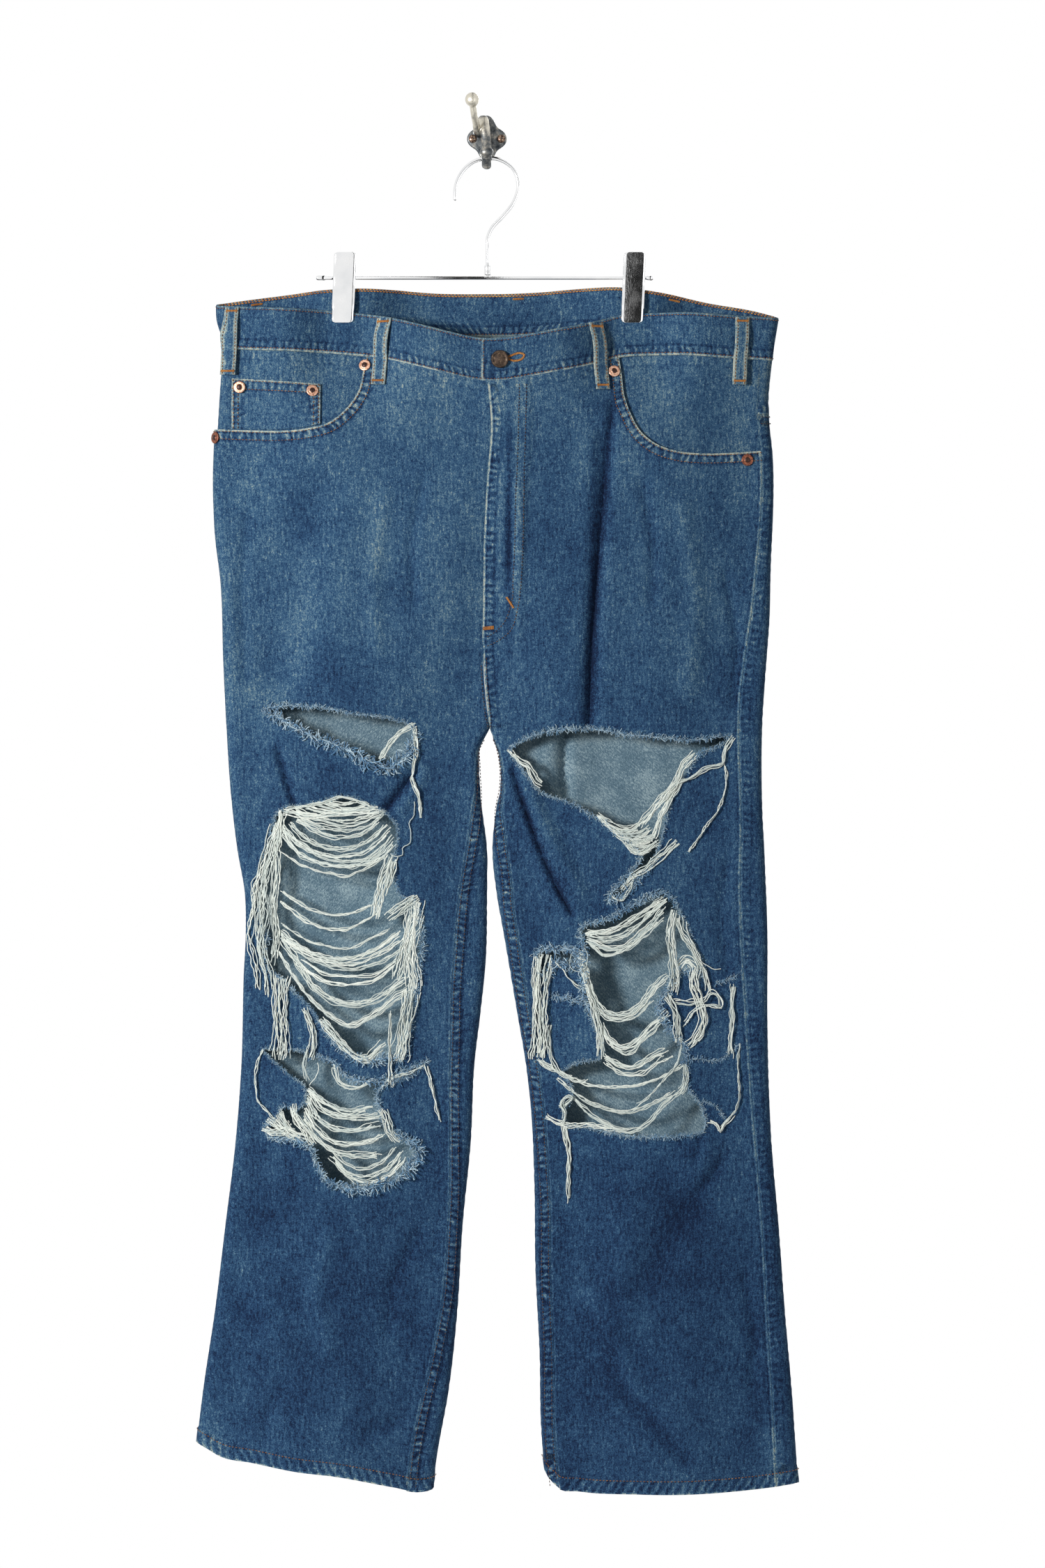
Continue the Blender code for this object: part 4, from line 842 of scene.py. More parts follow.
def creased(side, behind, across, down):
    """Height that the creases alone give at each place."""
    total = np.zeros(np.shape(across))
    for crease_side, crease_behind, width, height, run in CREASES:
        run = np.array(run, float)
        low, high = run.min(axis=0) - 3 * width, run.max(axis=0) + 3 * width
        near = (across > low[0]) & (across < high[0]) & (down > low[1]) & (down < high[1])
        near &= behind == crease_behind
        if crease_side != side or not near.any():
            continue
        away, along = nearest(run, np.stack([across[near], down[near]], axis=-1))
        length = np.hypot(*np.diff(run, axis=0).T).sum()
        end = min(1.4 * width + 7, length / 2)
        taper = ease(along / end) * ease((length - along) / end)
        total[near] += height * taper * np.exp(-(away / width) ** 2)
    return total


def relief(side, behind, across, down):
    """Outward shift that the folds, creases and slight unevenness of worn cloth give at each place."""
    phase = 1.3 * side + 2.1 * behind
    total = 0.42 * np.sin(across / 17 + down / 61 + phase)
    total += 0.34 * np.sin(across / 31 - down / 43 + 2 * phase)
    total += 0.26 * np.sin(down / 13 + across / 57 + 3 * phase)
    for fold_side, a0, d0, a1, d1, width, height in FOLDS:
        if fold_side != side:
            continue
        run = np.hypot(a1 - a0, d1 - d0)
        along = ((across - a0) * (a1 - a0) + (down - d0) * (d1 - d0)) / run
        aside = ((across - a0) * (d1 - d0) - (down - d0) * (a1 - a0)) / run
        taper = ease((along + width) / (2 * width)) * ease((run + width - along) / (2 * width))
        total += np.where(behind, 0.0, height * taper * np.exp(-(aside / width) ** 2))
    return total + creased(side, behind, across, down)


def facing_place(leg, flat, down):
    """The same place counted on the front, and whether it lies on the back."""
    outer, inner = leg.outer_limit(down), leg.inner_limit(down)
    flat = inner + np.mod(flat - inner, 2 * (outer - inner))
    behind = flat > outer
    return np.where(behind, 2 * outer - flat, flat), behind


def skin_mid(leg, flat, down):
    """Place of the cloth's middle at unrolled places; the array's last axis is x, y, z in mm."""
    flat, down = np.broadcast_arrays(np.atleast_1d(np.asarray(flat, float)), np.asarray(down, float))
    outer, inner = leg.outer_limit(down), leg.inner_limit(down)
    seen, behind = facing_place(leg, flat, down)
    out_turn = np.clip((outer - seen) / EDGE_R, 0, math.pi / 2)
    in_turn = np.clip((seen - inner) / EDGE_R, 0, math.pi / 2)
    across = np.where(outer - seen < QUARTER, outer - SLACK - EDGE_R * (1 - np.cos(out_turn)), seen)
    across = np.where(seen - inner < QUARTER, inner + SLACK + EDGE_R * (1 - np.cos(in_turn)), across)
    rise = ease((outer - seen - QUARTER) / SWELL_REACH) * ease((seen - inner - QUARTER) / SWELL_REACH)
    swell = np.where(behind, curve(BACK_SWELL, down), curve(FRONT_SWELL, down))
    depth = EDGE_R * np.sin(np.minimum(out_turn, in_turn)) + (swell - EDGE_R) * rise
    calm = ease((outer - seen) / 30) * ease((seen - inner) / 30)
    depth = depth + relief(leg.side, behind, across, down) * calm
    beside = np.maximum(np.abs(across - leg.clip) - CLIP_FLAT, 0)
    pinch = np.exp(-(beside / CLIP_REACH) ** 2) * (1 - ease((down - 190) / 120))
    depth = CLIP_DEPTH + (depth - CLIP_DEPTH) * (1 - pinch)
    y = MID_Y + np.where(behind, depth, -depth)
    return np.stack([leg.side * across, y, -down], axis=-1)


def skin(leg, flat, down, off=0.0):
    """Place on the cloth, moved outwards from its middle by off, and the direction out of the cloth."""
    mid = skin_mid(leg, flat, down)
    step = 0.6
    over = skin_mid(leg, flat + step, down) - skin_mid(leg, flat - step, down)
    under = skin_mid(leg, flat, down + step) - skin_mid(leg, flat, down - step)
    normal = np.cross(over, under) * -leg.side
    normal /= np.linalg.norm(normal, axis=-1, keepdims=True)
    return mid + normal * np.asarray(off)[..., None], normal


def inside(polygon, spots):
    """Which spots lie in a polygon, by counting crossed edges."""
    result = np.zeros(len(spots), bool)
    x, y = spots[:, 0], spots[:, 1]
    for (x0, y0), (x1, y1) in zip(polygon, np.roll(polygon, -1, axis=0)):
        if y0 != y1:
            result ^= ((y0 > y) != (y1 > y)) & (x < (x1 - x0) * (y - y0) / (y1 - y0) + x0)
    return result


def ring_distance(ring, spots):
    """Distance of each spot from a closed outline."""
    return nearest(np.vstack([ring, ring[:1]]), spots)[0]


def fine(a, b, step=5.0):
    """Evenly spaced values from a to b."""
    return np.linspace(a, b, max(2, round(abs(b - a) / step) + 1))


def line(flats, depths):
    """Rows of unrolled place and down."""
    return np.stack(np.broadcast_arrays(np.asarray(flats, float), np.asarray(depths, float)), axis=-1)


# Washed tone of the cloth, 0 for unworn indigo and 1 for bleached: down, tone on each leg.
TONE = {
    -1: [(150, 0.53), (250, 0.50), (330, 0.45), (450, 0.44), (600, 0.39), (850, 0.35), (940, 0.33),
         (1010, 0.31), (1100, 0.28), (1180, 0.27), (1260, 0.30), (1300, 0.36), (1330, 0.40)],
    1: [(150, 0.52), (250, 0.49), (330, 0.42), (450, 0.39), (600, 0.37), (850, 0.33), (940, 0.32),
        (1010, 0.29), (1100, 0.26), (1180, 0.24), (1260, 0.25), (1300, 0.30), (1330, 0.34)],
}
# Local wear, with painted light and shade in deep folds and beside the fly: side, across, down, half width,
# half height, change of tone.
WEAR_AND_FOLD_SHADE = [
    (-1, 40, 330, 34, 90, 0.03), (-1, 214, 470, 36, 150, 0.12), (-1, 228, 500, 16, 60, 0.07),
    (-1, 120, 400, 40, 110, 0.03), (-1, 190, 370, 16, 50, -0.05), (-1, 84, 430, 14, 90, -0.04),
    (-1, 150, 520, 26, 60, -0.07), (-1, 60, 560, 34, 40, 0.05), (-1, 40, 735, 26, 90, -0.02),
    (-1, 150, 625, 40, 26, -0.06), (-1, 226, 700, 20, 90, 0.05), (-1, 150, 1150, 70, 90, -0.07),
    (-1, 130, 930, 60, 30, 0.05), (-1, 232, 1050, 20, 60, -0.06), (-1, 266, 1284, 14, 24, 0.2),
    (-1, 205, 266, 44, 20, -0.06), (-1, 100, 1180, 14, 90, 0.05), (-1, 236, 1140, 12, 110, 0.05),
    (-1, 150, 700, 90, 120, -0.06), (1, 13, 360, 5, 130, 0.14), (1, 22, 380, 3.2, 110, -0.34),
    (1, 30, 370, 4, 130, 0.14), (1, 116, 330, 6, 60, -0.2), (1, 105, 450, 5.5, 120, -0.3),
    (1, 60, 400, 22, 120, -0.05), (1, 146, 420, 12, 110, 0.06), (1, 190, 420, 34, 130, 0.03),
    (1, 250, 420, 18, 150, 0.03), (1, 60, 560, 36, 40, 0.02), (1, 44, 700, 24, 70, -0.05),
    (1, 52, 640, 18, 34, -0.07), (1, 78, 724, 10, 44, -0.16), (1, 150, 760, 60, 22, 0.05),
    (1, 236, 700, 26, 120, 0.03), (1, 90, 880, 30, 60, 0.05), (1, 230, 900, 22, 80, 0.05),
    (1, 170, 1060, 60, 60, -0.06), (1, 176, 617, 60, 60, -0.09), (1, 118, 1200, 40, 60, -0.08),
    (1, 220, 1200, 30, 80, 0.05), (1, 284, 1290, 14, 30, 0.16), (1, 184, 266, 40, 24, 0.06),
    (1, 200, 1130, 10, 120, -0.05), (1, 150, 1120, 12, 120, 0.05),
]
CREASE_SHADE_AND_RUB = 0.045        # tone change per mm that a crease stands out: painted shade in hollows, rubbed paler ridges
CREASE_RUB = 2.2           # height past which a crease gets no paler
EDGE_WEAR = 0.05           # change of tone along the folded side edges


def tone(leg, flat, down):
    """Washed tone at each place, with painted shade in the creases and folds."""
    seen, behind = facing_place(leg, flat, down)
    total = curve(TONE[leg.side], down)
    for side, across, depth, width, height, change in WEAR_AND_FOLD_SHADE:
        if side == leg.side:
            reach = ((seen - across) / width) ** 2 + ((down - depth) / height) ** 2
            total = total + change * np.exp(-reach) * np.where(behind, 0.4, 1.0)
    edges = (leg.outer_limit(down) - 3, leg.inner_limit(down) + 3)
    rubbed = sum(np.exp(-((seen - edge) / 7) ** 2) for edge in edges)
    across = np.where(behind, seen, np.asarray(flat, float))
    # Painted shade: worn here darkens the crease hollows and makes their ridges paler, as rubbed wear.
    worn = np.minimum(creased(leg.side, behind, across, down), CREASE_RUB)
    return total + EDGE_WEAR * rubbed + CREASE_SHADE_AND_RUB * worn


# Longer fray: side, across and down of its middle, reach, extra length.
LONG_FRAY = [
    (-1, 196, 577, 20, 0.9), (-1, 166, 590, 24, 1.0), (-1, 130, 607, 26, 1.3), (-1, 98, 619, 20, 1.3),
    (-1, 76, 600, 18, 1.1), (-1, 214, 563, 16, 0.4), (-1, 110, 905, 40, 1.0), (-1, 206, 800, 50, 0.5),
    (-1, 70, 800, 50, 0.6), (-1, 190, 980, 26, 1.0), (-1, 120, 1026, 44, 1.3), (-1, 72, 1000, 26, 1.1),
    (1, 110, 690, 40, 0.3), (1, 60, 588, 40, 0.4), (1, 140, 586, 44, 0.4), (1, 210, 594, 30, 0.3),
    (1, 150, 975, 70, 0.3), (1, 190, 850, 50, 0.8), (1, 90, 830, 40, 0.8), (1, 70, 805, 24, 0.8),
    (1, 140, 750, 40, 0.8),
]


def fray_reach(leg, spots):
    """Length of the fray beside each place, as a share of the usual one."""
    share = np.full(len(spots), 0.65)
    for side, across, down, reach, more in LONG_FRAY:
        if side == leg.side:
            share += more * np.exp(-((spots[:, 0] - across) ** 2 + (spots[:, 1] - down) ** 2) / reach**2)
    return share


def denim_finish(name):
    """Washed indigo twill: slubs, streaks and cloudy fading, worn seams with painted shade beside them,
    puckers and pale torn edges.
    """
    made = Finish(name, 0.9, sheen=0.02)
    cloth = made.attribute("cloth", "Vector")
    seam, run = made.attribute("seam"), made.attribute("run")
    fade, gather = made.attribute("fade"), made.attribute("gather")
    slub = made.noise(made.stretch(cloth, (0.42, 0.08, 1.0)), 1.0, 3.0, 0.7)
    weft = made.noise(made.stretch(cloth, (0.07, 0.5, 1.0)), 1.0, 2.0)
    grain = made.noise(made.stretch(made.rotated(cloth, 0.5), (0.95, 0.6, 1.0)), 1.0, 3.0, 0.9)
    fleck = made.noise(made.stretch(cloth, (0.40, 0.26, 1.0)), 1.0, 3.0, 0.8)
    mottle = made.noise(cloth, 0.16, 4.0, 0.65)
    wander = made.noise(cloth, 0.06, 2.0)
    cloud = made.noise(made.stretch(cloth, (0.03, 0.014, 1.0)), 1.0, 4.0, 0.6)
    total = made.attribute("tone")
    shares = ((slub, 0.8), (weft, 0.16), (grain, 1.7), (fleck, 1.0), (mottle, 0.25), (cloud, 0.55))
    for value, share in shares:
        total = made.times(made.sum("SUBTRACT", value, 0.5), share, total)
    # Puckers: short bars across a sewn strip, and softer ones beyond it.
    phase = made.times(wander, 15.0, made.times(run, 2 * math.pi / 7.2))
    strip = made.times(made.span(seam, 1.2, 2.6), made.span(seam, 8.0, 10.0, 1.0, 0.0))
    loose = made.times(made.span(seam, 6.0, 24.0, 1.0, 0.0), made.span(wander, 0.42, 0.6))
    strip = made.times(strip, made.span(mottle, 0.35, 0.6, 0.3, 0.8))
    pucker = made.times(made.sum("SINE", phase), made.times(loose, 0.5, strip))
    pucker = made.times(pucker, gather)
    total = made.times(pucker, 0.27, total)
    edge = made.times(made.span(seam, 1.0, 2.6, 1.0, 0.0), made.span(mottle, 0.30, 0.56, 0.6, 1.0))
    total = made.times(made.times(edge, fade), 0.50, total)
    # Painted shade: dark lines in the hollows just beside each seam and past its outer row.
    painted_groove_shade = made.times(made.span(seam, 8.6, 9.8), made.span(seam, 10.2, 13.0, 1.0, 0.0))
    shadow = made.times(made.span(seam, 1.8, 2.6), made.span(seam, 2.8, 4.6, 1.0, 0.0))
    painted_seam_shade = made.times(painted_groove_shade, gather, made.times(shadow, fade))
    total = made.times(painted_seam_shade, -0.20, total)
    torn = made.span(made.attribute("rip"), 0.0, 5.5, 1.0, 0.0)
    total = made.times(torn, made.span(grain, 0.38, 0.60, -0.15, 0.30), total)
    hem = made.attribute("hem")
    turn = made.times(hem, 0.45, made.times(run, 2 * math.pi / 9.0))
    turn = made.times(mottle, 8.0, turn)
    roping = made.times(made.sum("SINE", turn), made.span(hem, 12.0, 14.5, 1.0, 0.0))
    total = made.times(roping, 0.15, total)
    total = made.times(made.span(hem, 0.0, 2.6, 1.0, 0.0), made.span(mottle, 0.4, 0.6, 0.0, 0.5), total)
    made.colour(made.ramp(total, [
        (0.0, paint(16, 30, 56)), (0.2, paint(32, 58, 92)), (0.45, paint(52, 87, 121)),
        (0.62, paint(82, 117, 142)), (0.8, paint(130, 152, 156)), (1.0, paint(188, 192, 178))]))
    height = made.times(grain, 0.8, made.times(slub, 0.6))
    height = made.times(pucker, 0.5, height)
    height = made.times(roping, 0.5, height)
    made.bump(made.times(mottle, 0.9, height), 0.8)
    return made.look


def reverse_finish(name):
    """The pale weft side of the twill."""
    made = Finish(name, 0.95, sheen=0.05)
    cloth = made.attribute("cloth", "Vector")
    twill = made.noise(made.stretch(made.rotated(cloth, -0.9), (0.9, 0.2, 1.0)), 1.0, 2.0, 0.7)
    fleck = made.noise(made.stretch(cloth, (0.8, 0.4, 1.0)), 1.0, 3.0, 0.8)
    cloud = made.noise(cloth, 0.04, 4.0)
    total = made.times(twill, 0.5, made.times(cloud, 0.4))
    total = made.times(fleck, 0.75, total)
    made.colour(made.ramp(total, [(0.5, paint(56, 78, 94)), (0.8, paint(100, 126, 141)),
                                  (1.0, paint(168, 188, 194))]))
    made.bump(made.times(fleck, 0.5, made.times(twill, 0.5)), 0.8)
    return made.look


denim_look = denim_finish("washed_indigo_twill")
reverse_look = reverse_finish("pale_weft_side")
torn_finish = Finish("torn_cloth_edge", 0.95, sheen=0.1)
torn_fleck = torn_finish.noise(torn_finish.place(), 900.0, 2.0)
torn_finish.colour(torn_finish.ramp(torn_fleck, [(0.35, paint(96, 122, 144)), (0.65, paint(176, 188, 186))]))
torn_look = torn_finish.look


def mark(mesh, marks):
    """Give a mesh its point attributes, each a number or a vector for every point."""
    for label, values in marks.items():
        values = np.asarray(values, float)
        kind, field = ("FLOAT_VECTOR", "vector") if values.ndim == 2 else ("FLOAT", "value")
        mesh.attributes.new(label, kind, "POINT").data.foreach_set(field, values.ravel())


def new_piece(name, points, faces, marks, looks, slots):
    """Mesh piece from millimetre points, with its point attributes, its finishes and each face's finish."""
    mesh = bpy.data.meshes.new(name)
    mesh.from_pydata([tuple(p) for p in np.asarray(points) * MM], [], faces)
    for look in looks:
        mesh.materials.append(look)
    mesh.polygons.foreach_set("material_index", slots)
    mark(mesh, marks)
    mesh.shade_smooth()
    mesh.set_sharp_from_angle(angle=math.radians(50))
    piece = put_in(name, mesh)
    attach(piece, BODY)
    return piece


FAR = 99.0                 # stands for the distance where there is no seam, hem or tear
ROW_SHARE = 0.866          # height of a row of even triangles over their side


def evenly_filled(outline, holes, step):
    """Spots inside an outline and outside its holes, in even staggered rows."""
    low, high = outline.min(axis=0), outline.max(axis=0)
    rows = np.arange(low[1], high[1], step * ROW_SHARE)
    spots = np.vstack([line(np.arange(low[0] + step / 2 * (i % 2), high[0], step), down)
                       for i, down in enumerate(rows)])
    spots = spots[inside(outline, spots)]
    spots = spots[ring_distance(outline, spots) > 0.6 * step]
    for ring in holes:
        spots = spots[(ring_distance(ring, spots) > 1.6) & ~inside(ring, spots)]
    return spots


def cut_flat(outline, holes, step):
    """The piece laid flat: its points, and its triangles without the holes."""
    places, pairs = [], []
    for ring in [outline, *holes]:
        first = len(places)
        places += [Vector(place) for place in ring]
        pairs += [(first + i, first + (i + 1) % len(ring)) for i in range(len(ring))]
    places += [Vector(place) for place in evenly_filled(outline, holes, step)]
    made, _, faces, *_ = delaunay_2d_cdt(places, pairs, [], 0, 1e-5)
    made = np.array([tuple(place) for place in made])
    faces = np.array(faces)
    centres = made[faces].mean(axis=1)
    use = inside(outline, centres)
    for ring in holes:
        use &= ~inside(ring, centres)
    used, faces = np.unique(faces[use], return_inverse=True)
    return made[used], faces.reshape(-1, 3)


def cloth_piece(name, leg, edges, sewn, holes=(), off=0.0, lift=None, step=5.6):
    """One cut piece of cloth as a thin closed wall that follows the garment.

    edges are its labelled outline runs in order, and sewn gives the fading and gathering along its seams.
    """
    runs = list(edges.values())
    outline = np.vstack([run[:-1] if np.allclose(run[-1], after[0]) else run
                         for run, after in zip(runs, [*runs[1:], runs[0]])])
    spots, faces = cut_flat(outline, holes, step)
    flat, down = spots.T
    count = len(spots)
    seam, rip = np.full((2, count), FAR)
    run, fade, gather = np.zeros((3, count))
    for label, (faded_by, gathered_by) in sewn.items():
        away, along = nearest(edges[label], spots)
        closer = away < seam
        seam[closer], run[closer] = away[closer], along[closer]
        fade[closer], gather[closer] = faded_by, gathered_by
    hem = np.full(count, FAR)
    if "hem" in edges:
        hem, along = nearest(edges["hem"], spots)
        run = np.where(hem < 16, along, run)
    for ring in holes:
        rip = np.minimum(rip, ring_distance(ring, spots))
    rip = rip / fray_reach(leg, spots)
    rise = off + (lift(flat, down) if lift else 0.0)
    thick = WALL + 0.9 * ease((14.5 - hem) / 2.0) + 0.5 * ease((9.0 - seam) / 1.5)
    upper, _ = skin(leg, flat, down, rise + thick - WALL / 2)
    lower, _ = skin(leg, flat, down, rise - WALL / 2)
    borders = dict.fromkeys((a, b) for face in faces.tolist() for a, b in zip(face, face[1:] + face[:1]))
    rim = [(a, b) for a, b in borders if (b, a) not in borders]
    outer_faces = (faces if leg.side > 0 else faces[:, ::-1]).tolist()
    inner_faces = [[i + count for i in reversed(face)] for face in outer_faces]
    walls = [(b, a, a + count, b + count) if leg.side > 0 else (a, b, b + count, a + count) for a, b in rim]
    slots = [0] * len(faces) + [1] * len(faces) + [2 if max(rip[a], rip[b]) < 0.05 else 0 for a, b in rim]
    marks = {"cloth": np.stack([flat, down, np.full(count, 400.0 * leg.side)], axis=-1), "seam": seam,
             "run": run, "hem": hem, "rip": rip, "tone": tone(leg, flat, down), "fade": fade,
             "gather": gather}
    marks = {label: np.concatenate([values, values]) for label, values in marks.items()}
    looks = [denim_look, reverse_look, torn_look]
    faces = outer_faces + inner_faces + walls
    piece = new_piece(f"{name}_cloth", np.vstack([upper, lower]), faces, marks, looks, slots)
    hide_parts(name)


# Upper edge of the waistband: place to the wearer's left, down.
FRONT_TOP = [(-261, 168), (-243, 169), (-194, 171), (-151, 173), (-105, 178), (-59, 189), (-35, 195),
             (-5, 201), (16, 201), (42, 197), (63, 193), (93, 187), (112, 182), (129, 177), (157, 175),
             (186, 175), (240, 178), (284, 180)]
BACK_TOP = [(-261, 167), (-241, 164), (-184, 156), (-150, 152), (-87, 151), (-39, 154), (42, 153), (83, 150),
            (131, 150), (154, 153), (173, 156), (210, 164), (253, 172), (284, 180)]
TUCK = 1.0                 # how far a panel's waist edge runs up into the waistband
# Yoke: across, height of its lower seam under the waistband's upper edge.
YOKE_DROP = [(0, 118), (130, 106), (262, 95)]
FORK = 584.0               # where the inseams start under the crotch


def band_top(leg, flat, down=200.0):
    """Height of the waistband's upper edge at unrolled places."""
    seen, behind = facing_place(leg, np.asarray(flat, float), down)
    across = leg.side * np.minimum(seen, leg.outer_edge(down))
    return np.where(behind, curve(BACK_TOP, across), curve(FRONT_TOP, across))


def hem_down(leg, flat):
    """Height of the hem at unrolled places."""
    seen, _ = facing_place(leg, np.asarray(flat, float), 1300.0)
    return curve(leg.hem, np.minimum(seen, leg.outer_edge(1300.0)))


def yoke_line(leg, flat):
    """Height of the yoke's lower seam at unrolled places on the back."""
    seen, _ = facing_place(leg, np.asarray(flat, float), 262.0)
    return band_top(leg, flat, 262.0) + curve(YOKE_DROP, seen)


def yoke_places(leg):
    """Unrolled places along the yoke's lower seam."""
    return fine(leg.seam_outer(264) + GAP / 2, leg.behind(leg.seam_centre(270), 270) + GAP)


def hem_corners(leg):
    """Where the side seam and the inseam end at the hem."""
    return float(hem_down(leg, leg.seam_outer(1290))), float(hem_down(leg, leg.seam_inner(1315)))


def back_edges(leg):
    """Outline of a back panel."""
    yoke = line(yoke_places(leg), yoke_line(leg, yoke_places(leg)) + GAP)
    side_low, inner_low = hem_corners(leg)
    yoke[-1][0] -= GAP
    seat = fine(yoke[-1][1] + 6, 580)
    leg_downs = fine(FORK, inner_low)
    side_downs = fine(side_low, yoke[0][1] + 6)
    inseam = line(leg.round_inner(leg.seam_inner(leg_downs) - GAP / 2, leg_downs), leg_downs)
    side = line(leg.seam_outer(side_downs) + GAP / 2, side_downs)
    hem = fine(inseam[-1][0], side[0][0])
    return {"yoke": yoke, "centre": line(leg.behind(leg.seam_centre(seat), seat), seat), "inseam": inseam,
            "hem": line(hem, hem_down(leg, hem)), "side": side}


for label, leg in LEGS.items():
    cloth_piece(f"back_{label}", leg, back_edges(leg),
                {"yoke": (0.5, 0.6), "centre": (0.6, 0.6), "inseam": (0.25, 1.0), "side": (0.35, 0.5)})


# ---- Yokes: a shaped half on each side between the waistband and the back panels, of the same twill.

def yoke_edges(leg):
    """Outline of half of the yoke."""
    waist_places = fine(leg.seam_outer(240) + GAP / 2, leg.behind(leg.seam_centre(195), 195) + GAP)
    seam = yoke_places(leg)[::-1]
    return {"waist": line(waist_places, band_top(leg, waist_places) + BAND_HEIGHT - TUCK),
            "yoke": line(seam, yoke_line(leg, seam))}


for label, leg in LEGS.items():
    cloth_piece(f"yoke_{label}", leg, yoke_edges(leg), {"waist": (0.1, 0.3), "yoke": (0.4, 0.6)})


# ---- Back pockets: a plain five-sided patch on each back panel, topstitched with two rows.

UNDER = DENIM + GAP + 1.1  # step from one layer of denim to the layer over or under it
POCKET_OFF = UNDER - 0.3   # height of a back pocket over the panel
BACK_POCKET = [(58, 326), (132, 322), (206, 330), (203, 392), (200, 452), (132, 482), (63, 448), (60, 388)]


def refined(points, step=4.0):
    """The same closed line with more points."""
    out = []
    for a, b in zip(points, [*points[1:], points[0]]):
        parts = max(1, math.ceil(math.dist(a, b) / step))
        out += [(a[0] + (b[0] - a[0]) * k / parts, a[1] + (b[1] - a[1]) * k / parts) for k in range(parts)]
    return np.array(out, float)


def patch_edges(leg, corners):
    """Outline of a back pocket, on the back."""
    ring = refined(corners)
    patch = line(leg.behind(ring[:, 0], ring[:, 1]), ring[:, 1])
    return {"patch": np.vstack([patch, patch[:1]])}


for label, leg in LEGS.items():
    cloth_piece(f"back_pocket_{label}", leg, patch_edges(leg, BACK_POCKET), {"patch": (0.9, 0.5)},
                off=POCKET_OFF)


# ---- Pocket facings: the yoke-like pieces that show behind the pocket mouths, one layer under the fronts.

MOUTH_LAP = 11.0           # how far a pocket facing runs under the front panel
SIDE_LAP = 6.0             # how far it runs on under the back panel at the side seam
# Pocket mouths: across, down from the waistband to the side seam.
SCOOPS = {
    "right": [(118, 222), (121, 236), (124, 250), (132, 264), (141, 274), (155, 284), (175, 289), (201, 291),
              (233, 290), (263, 289), (279, 289)],
    "left": [(130, 224), (132, 238), (134, 256), (140, 274), (150, 292), (165, 304), (186, 311), (208, 313),
             (240, 312), (264, 310)],
}


def facing_edges(leg, scoop):
    """Outline of a pocket facing."""
    start = scoop[0][0] - MOUTH_LAP
    waist_places = fine(start, leg.seam_outer(250) + SIDE_LAP)
    waist = line(waist_places, band_top(leg, waist_places) + BAND_HEIGHT - TUCK)
    side_downs = fine(waist[-1][1] + 5, scoop[-1][1] + MOUTH_LAP)
    lower = smooth_path([(a - MOUTH_LAP * 0.6, d + MOUTH_LAP) for a, d in reversed(scoop[3:-1])], 5)[0]
    side = line(leg.seam_outer(side_downs) + SIDE_LAP, side_downs)
    return {"waist": waist, "side": side, "lower": lower, "left": line(start, fine(262, 228))}


for label, leg in LEGS.items():
    cloth_piece(f"pocket_facing_{label}", leg, facing_edges(leg, SCOOPS[label]), {"waist": (0.0, 0.3)},
                off=-UNDER, step=5.0)


# ---- Fronts: the two long front panels, with scooped pocket mouths and the fly, which laps left over right.
# The thighs, knees and shins are torn open, and the torn edges are rubbed pale.

# Holes worn through the fronts, each with its outline as across, down.
RIPS = {
    "right": [
        [(216, 562), (203, 560), (182, 559), (158, 561), (135, 566), (107, 569), (87, 573), (76, 577),
         (68, 588), (75, 600), (84, 611), (95, 620), (101, 619), (108, 615), (116, 613), (131, 605),
         (148, 596), (165, 590), (182, 581), (199, 572)],
        [(201, 660), (172, 655), (138, 647), (111, 657), (99, 663), (88, 676), (90, 705), (88, 735),
         (80, 747), (69, 751), (65, 768), (63, 785), (66, 815), (72, 856), (77, 883), (83, 903), (97, 902),
         (116, 904), (133, 899), (147, 888), (160, 873), (167, 860), (178, 847), (189, 836), (201, 825),
         (211, 819), (219, 803), (214, 785), (220, 771), (225, 751), (222, 720), (213, 690)],
        [(218, 894), (199, 894), (179, 896), (160, 902), (150, 906), (141, 917), (129, 923), (113, 925),
         (97, 923), (82, 915), (58, 906), (69, 915), (84, 923), (101, 928), (107, 938), (103, 953), (99, 966),
         (87, 976), (72, 986), (65, 993), (73, 1007), (88, 1019), (106, 1027), (124, 1030), (143, 1027),
         (158, 1019), (165, 1004), (169, 991), (194, 981), (209, 979), (217, 970), (205, 962), (200, 951),
         (182, 951), (177, 940), (177, 930), (189, 921), (203, 909)],
    ],
    "left": [
        [(23, 601), (32, 594), (56, 585), (93, 581), (148, 588), (205, 592), (239, 589), (226, 598),
         (208, 605), (199, 618), (181, 647), (175, 670), (168, 694), (162, 711), (149, 726), (136, 741),
         (118, 748), (129, 734), (142, 719), (150, 706), (143, 696), (124, 681), (112, 670), (97, 662),
         (80, 653), (50, 641), (41, 628), (31, 615)],
        [(92, 775), (118, 767), (137, 756), (154, 747), (170, 741), (180, 747), (189, 762), (199, 785),
         (207, 822), (194, 817), (182, 823), (177, 836), (168, 849), (175, 870), (192, 890), (195, 905),
         (196, 931), (205, 943), (212, 957), (212, 972), (188, 978), (158, 979), (127, 976), (100, 970),
         (78, 966), (75, 955), (83, 943), (82, 928), (73, 917), (86, 908), (112, 901), (110, 883), (103, 863),
         (95, 843), (94, 822), (96, 798)],
        [(49, 798), (69, 796), (89, 799), (88, 811), (66, 811), (58, 822), (50, 818)],
    ],
}
TEETH = 0.8                # unevenness of a torn edge
TORN_SEED = 7
FLY_LAP = 1.6              # how far the fly's edge runs over the wearer's right
FLY_RISE = 1.45            # height of the lapped fly over the other front
FLY_END = 505.0


def beside(run):
    """Unit step to the left of each step of a run."""
    return np.stack([-run[:, 1], run[:, 0]], axis=-1) / np.hypot(*run.T)[:, None]


